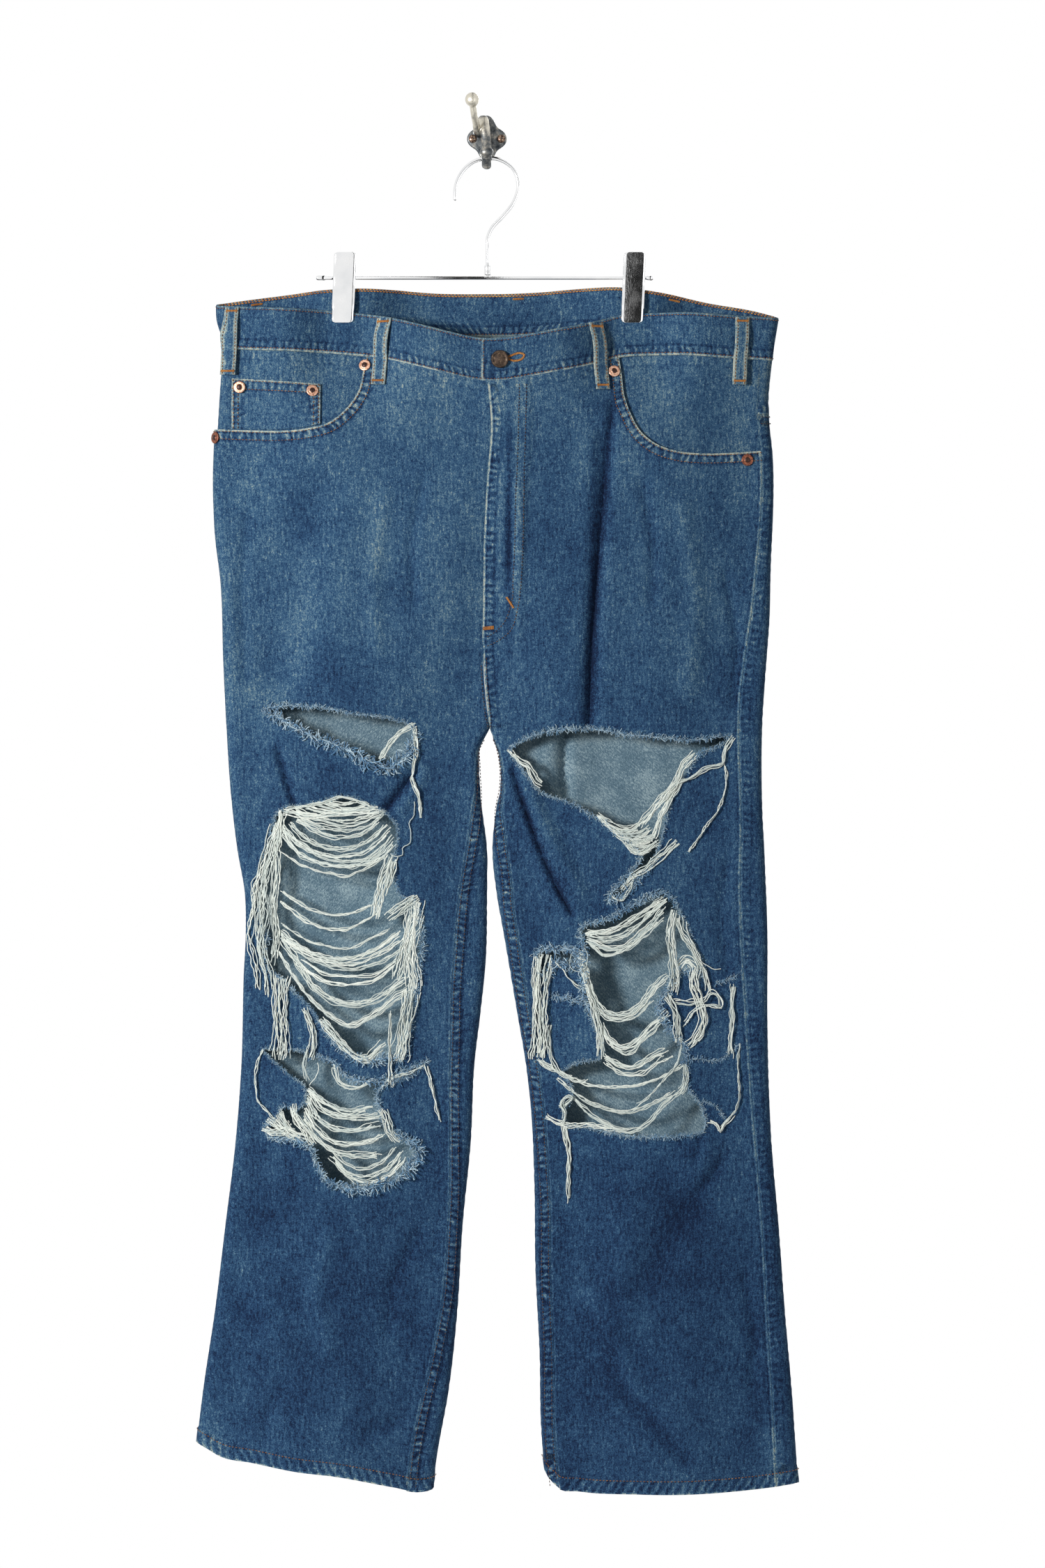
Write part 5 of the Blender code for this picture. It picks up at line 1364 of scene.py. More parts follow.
def torn_ring(corners, seed):
    """Closed outline of a hole, smoothed and given the small teeth of torn cloth."""
    chance = random.Random(seed)
    wrapped = [*corners[-3:], *corners, *corners[:3]]
    keys = np.concatenate([[0], np.cumsum([math.dist(a, b) for a, b in zip(wrapped, wrapped[1:])])])
    at = fine(keys[3], keys[-3], 2.2)[:-1]
    ring = np.stack([curve([(k, p[axis]) for k, p in zip(keys, wrapped)], at) for axis in (0, 1)], axis=-1)
    ways = beside(np.roll(ring, -1, axis=0) - np.roll(ring, 1, axis=0))
    return ring - ways * np.array([chance.uniform(-TEETH, TEETH) for _ in ring])[:, None]


RINGS = {label: [torn_ring(corners, TORN_SEED + index) for index, corners in enumerate(rips)]
         for label, rips in RIPS.items()}


def fly_lap(leg, down):
    """How far the lapped front runs over the other one."""
    return FLY_LAP * (1 - ease((down - FLY_END + 20) / 40)) if leg is LEFT else 0.0 * down


def front_edges(leg, scoop):
    """Outline of a front panel."""
    waist_places = fine(leg.seam_centre(244) - fly_lap(leg, 244.0), scoop[0][0] - 1)
    waist = line(waist_places, band_top(leg, waist_places) + BAND_HEIGHT - TUCK)
    side_low, inner_low = hem_corners(leg)
    side_downs = fine(scoop[-1][1], side_low)
    side = line(leg.seam_outer(side_downs) - GAP / 2, side_downs)
    mouth = smooth_path([waist[-1], *scoop[1:-1], side[0]], 4)[0]
    leg_downs = fine(inner_low, FORK)
    inseam = line(leg.seam_inner(leg_downs) + GAP / 2, leg_downs)
    seat = fine(580, waist[0][1] + 6)
    hem = fine(side[-1][0], inseam[0][0])
    return {"waist": waist, "mouth": mouth, "side": side, "hem": line(hem, hem_down(leg, hem)),
            "inseam": inseam, "centre": line(leg.seam_centre(seat) - fly_lap(leg, seat), seat)}


def fly_rise(flat, down):
    """The fly's double layers lift the left front over the right one."""
    near = 1 - ease((flat - LEFT.seam_centre(down) - 34) / 8)
    return FLY_RISE * near * (1 - ease((down - FLY_END + 24) / 30))


for label, leg in LEGS.items():
    cloth_piece(f"front_{label}", leg, front_edges(leg, SCOOPS[label]),
                {"waist": (0.0, 0.3), "mouth": (1.0, 0.9), "side": (0.6, 0.12), "inseam": (0.3, 0.12),
                 "centre": (1.0, 0.8) if leg is LEFT else (0.0, 0.12)},
                holes=RINGS[label], lift=fly_rise if leg is LEFT else None, step=3.2)


# ---- Coin pocket: a small patch on the right facing, with a turned upper hem.

COIN_OFF = -1.1            # height of the coin pocket over the middle of the front panels
COIN_POCKET = [(162, 284.5), (162, 245), (205, 242), (249, 239), (249, 288), (225, 289), (201, 289.5),
               (178, 287.5)]
coin_ring = refined(COIN_POCKET)
corner = int(coin_ring.sum(axis=1).argmax())
coin_edges = {"patch": coin_ring[:corner + 1], "base": np.vstack([coin_ring[corner:], coin_ring[:1]])}
cloth_piece("coin_pocket", RIGHT, coin_edges, {"patch": (0.75, 0.8)}, off=COIN_OFF, step=3.0)


# ---- Waistband: one doubled strip, folded along its upper edge, with rounded ends that lap at the button.
# It is cut along the cloth, and stitched to the panels below it.

LAP_STEP = BAND + GAP
LAP_END = 30.0             # the buttoned-under end, out on the wearer's left
LAP_EDGE = 5.0             # the edge of the end on top, out on the wearer's right
BAND_ROUND = 1.5           # rounding of the band's folded edges


def band_stations():
    """Places round the waistband, from the end underneath to the end on top: leg, unrolled place, offset."""
    rows = [(LEFT, flat, -LAP_STEP) for flat in fine(LAP_END, 5, 4)]
    for leg in (RIGHT, LEFT):
        last = float(2 * leg.outer_limit(200) - leg.centre(200)) - 7
        places = fine(-1 if leg is RIGHT else 5, last, 4)
        under = [-LAP_STEP * (1 - float(ease((flat - 12) / 42))) if leg is RIGHT else 0.0 for flat in places]
        run = [(leg, flat, off) for flat, off in zip(places, under)]
        rows += run if leg is RIGHT else run[::-1]
    return rows + [(RIGHT, flat, 0.0) for flat in fine(-1, LAP_EDGE, 3)]


def strip_ring(low, high, half, rounding, parts=3):
    """Closed section of a folded strip: places across the strip, and their offsets out of it."""
    ring = []
    for centre, start in ((low + rounding, math.pi), (high - rounding, math.pi / 2)):
        for k in range(parts + 1):
            angle = start - math.pi / 2 * k / parts
            ring.append((centre + rounding * math.cos(angle), half * math.sin(angle)))
        if start == math.pi:
            ring += [(place, half) for place in fine(low + rounding, high - rounding, 4.2)[1:-1]]
    return np.array(ring + [(place, -off) for place, off in reversed(ring[1:-1])]).T


def swept(node, rings, marks):
    """Closed strip of cloth through rings of points, which are rows of x, y, z in mm."""
    stations, count = rings.shape[:2]
    total = stations * count
    marks = {"hem": np.full(total, FAR), "rip": np.full(total, FAR), **marks}
    marks = {label: np.broadcast_to(values, np.shape(values) or total) for label, values in marks.items()}
    faces = tube_faces(stations, count)
    piece = new_piece(f"{node}_cloth", rings.reshape(-1, 3), faces, marks, [denim_look], [0] * len(faces))
    outward(piece.data)
    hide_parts(node)
    return piece


levels, outs = strip_ring(0.0, BAND_HEIGHT, BAND / 2, BAND_ROUND)
stations = band_stations()
band_rows = np.array([skin(leg, flat, float(band_top(leg, flat)) + levels, off + outs)[0]
                      for leg, flat, off in stations])
band_run = np.concatenate([[0.0], np.cumsum(np.linalg.norm(np.diff(band_rows[:, 0], axis=0), axis=1))])
band_levels = np.tile(levels, len(stations))
band_along = np.repeat(band_run, len(levels))
ends = np.minimum(band_along, band_run[-1] - band_along)
lower_half = ease((band_levels - 18) / 10)
waistband = swept("waistband", band_rows, {
    "cloth": np.stack([band_along, band_levels, np.full(len(band_along), 900.0)], axis=-1),
    "seam": np.minimum(np.minimum(band_levels, BAND_HEIGHT - band_levels), ends), "run": band_along,
    "fade": 0.5 + 0.45 * lower_half, "gather": 0.2 + 0.6 * lower_half, "tone": 0.45})


# ---- Belt loops: seven narrow folded strips, bar-tacked at the band's upper edge and just under its seam.

LOOP_WIDTH = 14.0
LOOP_WALL = 2.0
LOOP_BOW = 2.6             # how far a loop stands off the band at its middle
LOOP_TAIL = 25.0           # length of a loop below the band
# Each loop: leg, across at its top and at its foot, on the back or not.
LOOPS = {
    "side_right": (RIGHT, 248, 252, False), "front_right": (RIGHT, 98, 105, False),
    "front_left": (LEFT, 105, 113, False), "side_left": (LEFT, 249, 246, False),
    "back_right": (RIGHT, 215, 217, True), "back_middle": (LEFT, 24, 24, True),
    "back_left": (LEFT, 176, 178, True),
}
LOOP_RISE = [(0, 0.0), (4, 0.0), (9, 0.25), (14, 0.7), (21, 1.0), (30, 0.85), (36, 0.45), (41, 0.0),
             (48, -0.16), (67, -0.16)]


def loop_places(name, edges, runs, over=0.0):
    """Places on a belt loop: across the strip, along it, and how far over its middle; with the ways out."""
    leg, top_across, low_across, back = LOOPS[name]
    across = top_across + (low_across - top_across) * runs / (BAND_HEIGHT + LOOP_TAIL) + edges
    first = leg.behind(top_across, 200.0) if back else top_across
    downs = float(band_top(leg, first)) + runs
    flat = leg.behind(across, downs) if back else across
    rest = BAND / 2 + 2 * GAP + LOOP_WALL / 2 + LOOP_BOW * curve(LOOP_RISE, runs)
    return skin(leg, flat, downs, rest + over)


edges, outs = strip_ring(-LOOP_WIDTH / 2, LOOP_WIDTH / 2, LOOP_WALL / 2, 0.9)
crown = outs + 0.25 * (1 - (edges / LOOP_WIDTH * 2) ** 2)
stops = fine(1.5, BAND_HEIGHT + LOOP_TAIL, 2.2)
across, along = np.tile(edges, len(stops)), np.repeat(stops, len(edges))
for name in LOOPS:
    rings = np.array([loop_places(name, edges, np.full(len(edges), stop), crown)[0] for stop in stops])
    loop = swept(f"belt_loop_{name}", rings, {
        "cloth": np.stack([across, along, np.full(len(along), 1300.0 + len(name))], axis=-1),
        "seam": (LOOP_WIDTH / 2 - np.abs(across)) * 0.52, "run": along, "fade": 0.55, "gather": 0.0,
        "tone": 0.66})


# ---- Button and rivets: a blank dished shank button of aged bronze, and six copper rivets.
# The button stands on its shank through the band, and each rivet clamps the layers at a pocket's corner.

# Each profile: radius, height.
BUTTON = [(0, 0), (3.2, 0), (3.2, 1.6), (7.0, 1.6), (8.0, 1.9), (8.5, 2.4), (8.65, 3.0), (8.45, 3.6),
          (7.9, 4.1), (7.3, 4.3), (6.8, 4.2), (6.45, 3.95), (6.1, 3.75), (5.4, 3.8), (4.0, 4.05), (2.0, 4.25),
          (0, 4.3)]
RIVET = [(0, 0), (5.4, 0), (5.7, 0.25), (5.8, 0.55), (5.65, 0.85), (5.2, 1.1), (4.5, 1.2), (3.5, 1.1),
         (2.9, 1.15), (2.6, 1.5), (2.3, 1.85), (1.8, 2.1), (1.0, 2.25), (0, 2.3)]
# Each rivet: leg, unrolled place, down, height of the layer under it.
RIVETS = {
    "rivet_mouth_right": (RIGHT, 118.5, 227, 0.8), "rivet_coin_outer": (RIGHT, 241, 248, 0.9),
    "rivet_coin_inner": (RIGHT, 170, 252, 0.0), "rivet_mouth_left": (LEFT, 124, 233, 0.9),
    "rivet_side_left": (LEFT, 254, 319, 0.8), "rivet_side_right": (RIGHT, 265, 297, 0.3),
}


def seat_on(leg, flat, down, off):
    """Axes of a small fitting: its Z points out of the cloth."""
    place, out = skin(leg, flat, down, off)
    out = Vector(out[0])
    side = Vector((0, 0, 1)).cross(out).normalized()
    turn = Matrix((side, out.cross(side), out)).transposed().to_4x4()
    return Matrix.Translation(Vector(place[0]) * MM) @ turn


def turned(name, profile, seat, look, sides=48):
    """Turned fitting from a profile of radius and height that starts and ends on the axis."""
    points = [(0, 0, profile[0][1])]
    for radius, height in profile[1:-1]:
        points += [(radius * math.cos(a), radius * math.sin(a), height)
                   for a in np.linspace(0, 2 * math.pi, sides, endpoint=False)]
    points.append((0, 0, profile[-1][1]))
    faces = [tuple(1 + i for i in face) for face in ring_faces(len(profile) - 2, sides)]
    last = len(points) - 1 - sides
    for k in range(sides):
        nxt = (k + 1) % sides
        faces += [(0, 1 + nxt, 1 + k), (last + k, last + nxt, last + sides)]
    radii = [math.hypot(x, y) for x, y, _ in points]
    placed = np.array([tuple(seat @ (Vector(p) * MM)) for p in points]) / MM
    piece = new_piece(name, placed, faces, {"radius": radii}, [look], [0] * len(faces))
    outward(piece.data)
    return piece


bronze = Finish("aged_bronze", 0.5, metallic=0.7)
bronze_wear = bronze.noise(bronze.place(), 420.0, 4.0, 0.65)
bronze.colour(bronze.ramp(bronze_wear, [(0.35, paint(40, 32, 28)), (0.55, paint(72, 57, 46)),
                                        (0.72, paint(124, 106, 86))]))
bronze.bump(bronze.times(bronze_wear, 0.1))


def copper_finish(name, dull, mid, bright):
    """Copper plate with a worn ring and a dark hollow in its middle."""
    made = Finish(name, 0.36, metallic=0.6)
    wear = made.noise(made.place(), 700.0, 4.0, 0.6)
    middle = made.span(made.attribute("radius"), 2.3, 3.0, 1.0, 0.0)
    ring = made.ramp(wear, [(0.30, paint(*dull)), (0.46, paint(*mid)), (0.66, paint(*bright))])
    made.colour(made.blend(middle, ring, paint(58, 38, 34)))
    made.bump(made.times(wear, 0.08))
    return made.look


worn_copper = copper_finish("worn_copper", (142, 88, 64), (214, 158, 128), (244, 210, 186))
rusted_copper = copper_finish("rusted_copper", (70, 40, 34), (112, 62, 46), (176, 112, 80))

button = turned("shank_button_turned", BUTTON, seat_on(LEFT, 13, 222, BAND / 2 + GAP), bronze.look, 64)
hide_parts("shank_button")
for name, (leg, flat, down, layer) in RIVETS.items():
    rivet = turned(f"{name}_turned", RIVET, seat_on(leg, flat, down, layer + DENIM / 2 + GAP),
                   rusted_copper if "side" in name else worn_copper)
    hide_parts(name)


# ---- Topstitching: rows of thick rust-coloured cotton along the seams, with close bar tacks where they end.
# Each row lies on the face of the cloth, at a steady distance from its seam.

PITCH = 3.3
FACE = WALL / 2 + 0.55     # height of a thread's middle over the middle of a single layer


def lines_mesh(name, runs, marks, rings=0):
    """Lines through runs of millimetre places, with point attributes; the first few may be closed rings."""
    verts, edges = [], []
    for index, places in enumerate(runs):
        first, count = len(verts), len(places)
        verts += [Vector(place) * MM for place in places]
        edges += [(first + i, first + (i + 1) % count) for i in range(count if index < rings else count - 1)]
    mesh = bpy.data.meshes.new(name)
    mesh.from_pydata(verts, edges, [])
    mark(mesh, marks)
    return mesh


def row_on(leg, points, off=FACE, step=3.0):
    """A stitched row through unrolled places."""
    path, _ = smooth_path(points, step)
    return skin(leg, path[:, 0], path[:, 1], off)


def row_behind(leg, points):
    """A stitched row on a back pocket, through places counted on the front."""
    across, down = np.array(points, float).T
    return row_on(leg, line(leg.behind(across, down), down), POCKET_OFF + FACE + 0.4)


def inset(run, amount):
    """The same run moved sideways by an amount, to the left of its direction for a positive one."""
    return run + beside(np.gradient(run, axis=0)) * amount


stitch = Recipe("stitch_row", {"Pitch": PITCH * MM, "Length": 2.7 * MM, "Thickness": 0.9 * MM, "Turn": 0.0})
sewn_line = stitch.node("MeshToCurve", Mesh=stitch.given["Geometry"])
evenly = stitch.node("ResampleCurve", {"mode": "LENGTH"}, Curve=sewn_line, Length=stitch.given["Pitch"])
bead = stitch.node("MeshUVSphere", Segments=5, Rings=3, Radius=0.5)
bead_size = stitch.node("ShaderNodeCombineXYZ", X=stitch.given["Length"], Y=stitch.given["Thickness"],
                        Z=stitch.given["Thickness"])
thread_bead = stitch.node("Transform", Geometry=bead, Scale=bead_size)
out_way = stitch.node("InputNamedAttribute", {"data_type": "FLOAT_VECTOR"}, Name="out")
along_way = stitch.node("InputTangent")
laid_along = stitch.node("FunctionNodeAlignRotationToVector", {"axis": "X"}, Vector=along_way)
face_up = stitch.node("FunctionNodeAlignRotationToVector", {"axis": "Z", "pivot_axis": "X"},
                      Rotation=laid_along, Vector=out_way)
slant = stitch.node("FunctionNodeRandomValue", {"data_type": "FLOAT"}, Min=-0.10, Max=0.10, Seed=3)
turning = stitch.node("ShaderNodeMath", values=[stitch.given["Turn"], slant])
final_turn = stitch.node("FunctionNodeRotateRotation", {"rotation_space": "LOCAL"}, Rotation=face_up,
                         Rotate_By=stitch.node("ShaderNodeCombineXYZ", Z=turning))
stitch.finish(stitch.node("InstanceOnPoints", Points=evenly, Instance=thread_bead, Rotation=final_turn))


def thread_finish(name, dark, mid, light):
    """Twisted cotton thread, faded unevenly."""
    made = Finish(name, 0.75, sheen=0.2)
    fade = made.noise(made.place(), 55.0, 3.0)
    fleck = made.noise(made.place(), 900.0, 2.0)
    made.colour(made.ramp(made.times(fleck, 0.4, made.times(fade, 0.65)),
                          [(0.34, paint(*dark)), (0.52, paint(*mid)), (0.72, paint(*light))]))
    twist = made.noise(made.stretch(made.place(), (1.0, 1.0, 1.6)), 2600.0, 1.0)
    made.bump(made.times(twist, 0.12))
    return made.look


rust = thread_finish("rust_thread", (84, 54, 38), (134, 88, 52), (182, 128, 76))
faded = thread_finish("faded_thread", (48, 44, 54), (82, 64, 62), (130, 104, 84))
orange = thread_finish("orange_thread", (130, 80, 40), (190, 124, 62), (224, 168, 100))
amber = thread_finish("amber_thread", (140, 84, 24), (204, 128, 40), (236, 178, 88))

rust_rows, faded_rows, bright_rows = [], [], []
# Band: a row along each edge, outside all round and inside along the back.
for level in (2.5, BAND_HEIGHT - 2.5):
    for side_off, keep in ((BAND / 2 + 0.28, stations[8:]), (-BAND / 2 - 0.28, stations)):
        runs = [skin(leg, flat, float(band_top(leg, flat)) + level, off + side_off)
                for leg, flat, off in keep]
        way = 1 if side_off > 0 else -1
        rust_rows.append((np.array([p[0] for p, _ in runs]), np.array([n[0] * way for _, n in runs])))
for level, rise in ((0.9, 0.1), (2.6, 0.32)):
    runs = [skin(leg, flat, float(band_top(leg, flat)) + level, off - BAND / 2 - rise)
            for leg, flat, off in stations if flat > leg.outer_edge(200) - 8]
    bright_rows.append((np.array([p[0] for p, _ in runs]), np.array([-n[0] for _, n in runs])))
end_downs = fine(4, BAND_HEIGHT - 4, 3)
rust_rows.append(skin(RIGHT, np.full(len(end_downs), LAP_EDGE - 2.2), 201 + end_downs, BAND / 2 + 0.28))

for label, leg in LEGS.items():
    front, back = front_edges(leg, SCOOPS[label]), back_edges(leg)
    # Pocket mouth, on the front panel, and the panels' seams with the band.
    for gap in (1.8, 9.2):
        rust_rows.append(row_on(leg, inset(front["mouth"], gap), FACE + 0.5))
    # Inseam and side seam: the felled back edge carries both rows.
    inner_downs = fine(FORK + 8, hem_corners(leg)[1] - 4, 6)
    for gap in (2.2, 8.6):
        faded_rows.append(row_on(leg, line(leg.seam_inner(inner_downs) - gap, inner_downs), FACE + 0.5))
    seat_downs = fine(FLY_END + 8 if leg is LEFT else 520, 578, 6)
    faded_rows.append(row_on(leg, line(leg.seam_centre(seat_downs) + 2.4, seat_downs), FACE + 0.5))
    # Seat, yoke and back pocket, all on the back.
    for gap in (2.2, 8.6):
        if leg is LEFT:
            faded_rows.append(row_on(leg, inset(back["centre"][2:-3], gap), FACE + 0.5))
        faded_rows.append(row_on(leg, inset(back["yoke"][1:-1], gap), FACE + 0.5))
        pocket = [(58 + gap, 326 + gap), (61 + gap, 388), (63.5 + gap, 447 - gap / 3), (132, 481 - gap),
                  (199.5 - gap, 451 - gap / 3), (202.5 - gap, 392), (205.5 - gap, 330 + gap)]
        faded_rows += [row_behind(leg, np.linspace(a, b, 12)) for a, b in zip(pocket, pocket[1:])]
    for gap in (2.0, 13.0):
        faded_rows.append(row_behind(leg, [(60, 326 + gap), (132, 322 + gap), (204, 330 + gap)]))
    # Hem: one row all round, 13 mm up.
    for edges in (front, back):
        rust_rows.append(row_on(leg, edges["hem"] - np.array([0.0, 13.0]), FACE + 0.9))

# Fly: the twin J-shaped rows, and the row beside the fly's edge.
J_OUTER = [(38.8, 247), (37.5, 300), (36, 342), (33.6, 430), (31, 462), (23.1, 486), (10, 496), (1.5, 500)]
J_INNER = [(32, 247), (30.6, 300), (29.2, 342), (27.2, 430), (24.6, 458), (17, 478), (8, 487), (1.5, 491)]
for path in (J_OUTER, J_INNER):
    faded_rows.append(row_on(LEFT, path, FACE + FLY_RISE * 0.9))
# Coin pocket: two rows under its mouth, and twin rows down its sides.
for path in ([(163, 246.6), (205, 243.6), (248, 240.8)], [(163, 254), (205, 251.6), (248, 249)],
             [(163.8, 246), (163.8, 283)], [(168.6, 256), (168.6, 284)], [(247.2, 241), (247.2, 287)],
             [(242.6, 252), (242.6, 287)]):
    rust_rows.append(row_on(RIGHT, path, FACE + COIN_OFF + 0.45))
# Belt loops: a row down each side.
for name in LOOPS:
    for edge in (-LOOP_WIDTH / 2 + 2.2, LOOP_WIDTH / 2 - 2.2):
        runs = fine(3, BAND_HEIGHT + LOOP_TAIL - 1.5, 3)
        rust_rows.append(loop_places(name, np.full(len(runs), edge), runs, LOOP_WALL / 2 + 0.4))

tack_rows = []
for name in LOOPS:
    for run in (4.8, BAND_HEIGHT + 21.4):
        edges = fine(-LOOP_WIDTH / 2 + 1.4, LOOP_WIDTH / 2 - 1.4, 3)
        tack_rows.append(loop_places(name, edges, np.full(len(edges), run), LOOP_WALL / 2 + 0.45))
    leg, across, _, back = LOOPS[name]
    if back:
        # The tacks of the back loops show on the inside of the band too.
        flats = leg.behind(across + fine(-5.0, 5.0, 2.5), 200.0)
        places, out = skin(leg, flats, band_top(leg, flats) + 5.4, -BAND / 2 - 0.4)
        tack_rows.append((places, -out))
for path in ([(20, 453), (26.5, 463)], [(-3, 482.5), (7, 481.5)], [(-3, 484), (7, 483)]):
    tack_rows.append(row_on(LEFT, path, FACE + FLY_RISE))
KEYHOLE = [(22, 219.2), (34, 216.4), (36.8, 217.8), (36, 220), (23, 222.6), (20.6, 221), (22, 219.2)]
tack_rows.append(row_on(LEFT, KEYHOLE, BAND / 2 + 0.4, 1.0))

for name, rows, look, sizes in (
        ("topstitching_rust", rust_rows, rust, {}),
        ("topstitching_faded", faded_rows, faded, {}),
        ("topstitching_bright", bright_rows, amber, {"Thickness": 1.35 * MM, "Length": 3.2 * MM}),
        ("bar_tacks", tack_rows, orange,
         {"Pitch": 0.85 * MM, "Length": 3.0 * MM, "Thickness": 0.9 * MM, "Turn": 1.45})):
    runs, ways = zip(*rows)
    thread = grown(name, stitch, lines_mesh(name, runs, {"out": np.vstack(ways)}), look, **sizes)
    thread.data.shade_smooth()


# ---- Frayed edges: the cut ends of the cloth's own cotton threads, standing and lying all round each hole.
# They are longest along the lower edges of the wearer's right holes, where the weft has washed loose.

fray = Recipe("frayed_ends", {"Spacing": 0.62 * MM, "Length": 5.0 * MM, "Thickness": 0.17 * MM, "Seed": 5,
                              "Lean": 0.2})
torn_line = fray.node("MeshToCurve", Mesh=fray.given["Geometry"])
roots = fray.node("ResampleCurve", {"mode": "LENGTH"}, Curve=torn_line, Length=fray.given["Spacing"])
wisp = fray.node("CurveQuadraticBezier", Resolution=3, Start=(0.0, 0.0, 0.0), Middle=(0.62, 0.0, 0.0),
                 End=(0.86, 0.0, 0.48))
wisp_ring = fray.node("CurvePrimitiveCircle", Resolution=3, Radius=fray.given["Thickness"])
length = fray.given["Length"]
wisp_size = fray.node("ShaderNodeCombineXYZ", X=length, Y=length, Z=length)
wisp_sized = fray.node("Transform", Geometry=wisp, Scale=wisp_size)
wisp_solid = fray.node("CurveToMesh", Curve=wisp_sized, Profile_Curve=wisp_ring, Fill_Caps=True)


def scaled(recipe, vector, amount):
    """A vector times a number."""
    return recipe.node("ShaderNodeVectorMath", {"operation": "SCALE"}, Vector=vector, Scale=amount)


def dice(recipe, low, high, seed):
    """A random number for each point; the seed is added to the recipe's own."""
    whole = recipe.node("ShaderNodeMath", values=[recipe.given["Seed"], seed])
    return recipe.node("FunctionNodeRandomValue", {"data_type": "FLOAT"}, Min=low, Max=high, Seed=whole)


out_dir = fray.node("InputNamedAttribute", {"data_type": "FLOAT_VECTOR"}, Name="out")
into_dir = fray.node("InputNamedAttribute", {"data_type": "FLOAT_VECTOR"}, Name="into")
long_share = fray.node("InputNamedAttribute", {"data_type": "FLOAT"}, Name="long")
leaning = fray.node("ShaderNodeMath", values=[dice(fray, -1.0, 1.0, 1), fray.given["Lean"]])
aslant = scaled(fray, fray.node("InputTangent"), dice(fray, -1.1, 1.1, 2))
aslant = fray.node("ShaderNodeVectorMath", values=[aslant, scaled(fray, out_dir, dice(fray, 0.04, 0.5, 3))])
heading = fray.node("ShaderNodeVectorMath", values=[scaled(fray, into_dir, leaning), aslant])
pointed = fray.node("FunctionNodeAlignRotationToVector", {"axis": "X"}, Vector=heading)
rolled = fray.node("FunctionNodeRotateRotation", {"rotation_space": "LOCAL"}, Rotation=pointed,
                   Rotate_By=fray.node("ShaderNodeCombineXYZ", X=dice(fray, -3.1, 3.1, 4)))
size_share = fray.node("ShaderNodeMath", {"operation": "MULTIPLY"}, [long_share, dice(fray, 0.25, 1.0, 6)])
wisps = fray.node("InstanceOnPoints", Points=roots, Instance=wisp_solid, Rotation=rolled, Scale=size_share)
fray.finish(fray.node("StoreNamedAttribute", {"data_type": "FLOAT", "domain": "INSTANCE"}, Geometry=wisps,
                      Name="shade", Value=dice(fray, 0.0, 1.0, 8)))


def cotton_finish(name, dark, mid, light, patches):
    """Loose cotton, a different shade for each thread, with the odd bluer or creamier patch."""
    made = Finish(name, 0.9, sheen=0.25)
    patch = made.noise(made.place(), 38.0, 2.0)
    speck = made.noise(made.place(), 700.0, 2.0)
    total = made.times(made.attribute("shade"), 0.55, made.times(patch, patches))
    made.colour(made.ramp(made.times(speck, 0.3, total),
                          [(0.2, paint(*dark)), (0.55, paint(*mid)), (0.9, paint(*light))]))
    return made.look


fray_look = cotton_finish("frayed_cotton", (50, 90, 130), (102, 147, 182), (196, 217, 226), 0.5)

ROOT_LIFT = 0.65           # height of the ends' roots over the middle of the cloth
# Closed tears, which gape too little to see through: each a line of fray as across, down.
TEARS = {
    "right": [[(176, 905), (166, 899), (152, 905)]],
    "left": [[(188, 906), (206, 903), (227, 904), (238, 897), (247, 889)], [(63, 841), (78, 844), (93, 848)],
             [(224, 829), (236, 826), (247, 820)], [(210, 944), (224, 950), (232, 962)]],
}


def torn_lines(name, label):
    """The torn edges, with the way out of the cloth, the way into the gap and the length of the fray."""
    leg, rings = LEGS[label], RINGS[label]
    rows = []
    for index, spots in enumerate([*rings, *(smooth_path(tear, 2.2)[0] for tear in TEARS[label])]):
        if index < len(rings):
            side = beside(np.roll(spots, -1, axis=0) - np.roll(spots, 1, axis=0))
            side = np.where(inside(spots, spots + side * 1.2)[:, None], side, -side)
        else:
            side = beside(np.gradient(spots, axis=0))
        places, out = skin(leg, *spots.T, ROOT_LIFT)
        ahead, _ = skin(leg, *(spots + side).T, ROOT_LIFT)
        rows.append((places, out, ahead - places, fray_reach(leg, spots)))
    runs, outs, intos, longs = zip(*rows)
    marks = {"out": np.vstack(outs), "into": np.vstack(intos), "long": np.concatenate(longs)}
    return lines_mesh(name, runs, marks, len(rings))


FRAYS = {
    "frayed_ends_lying": {"Lean": -0.5, "Seed": 11, "Length": 6.0 * MM, "Spacing": 0.44 * MM,
                          "Thickness": 0.36 * MM},
    "frayed_ends_hanging": {"Lean": 0.8, "Seed": 47, "Length": 5.0 * MM, "Spacing": 0.6 * MM,
                            "Thickness": 0.34 * MM},
}
for label in LEGS:
    for name, values in FRAYS.items():
        ends = grown(f"{name}_{label}", fray, torn_lines(name, label), fray_look, **values)
        ends.data.shade_smooth()


# ---- Bared yarns: the white weft that stays when the blue warp has worn away, in loose bundles.
# They sag in arcs between the torn edges, tangle beside them, and hang down in hanks over the cloth below.

YARN_R = 0.52
YARN_STEP = 2.6            # distance between the places that a bundle's run is read at
FULLNESS = 1.35            # share by which the bundles have grown fuller in the wash
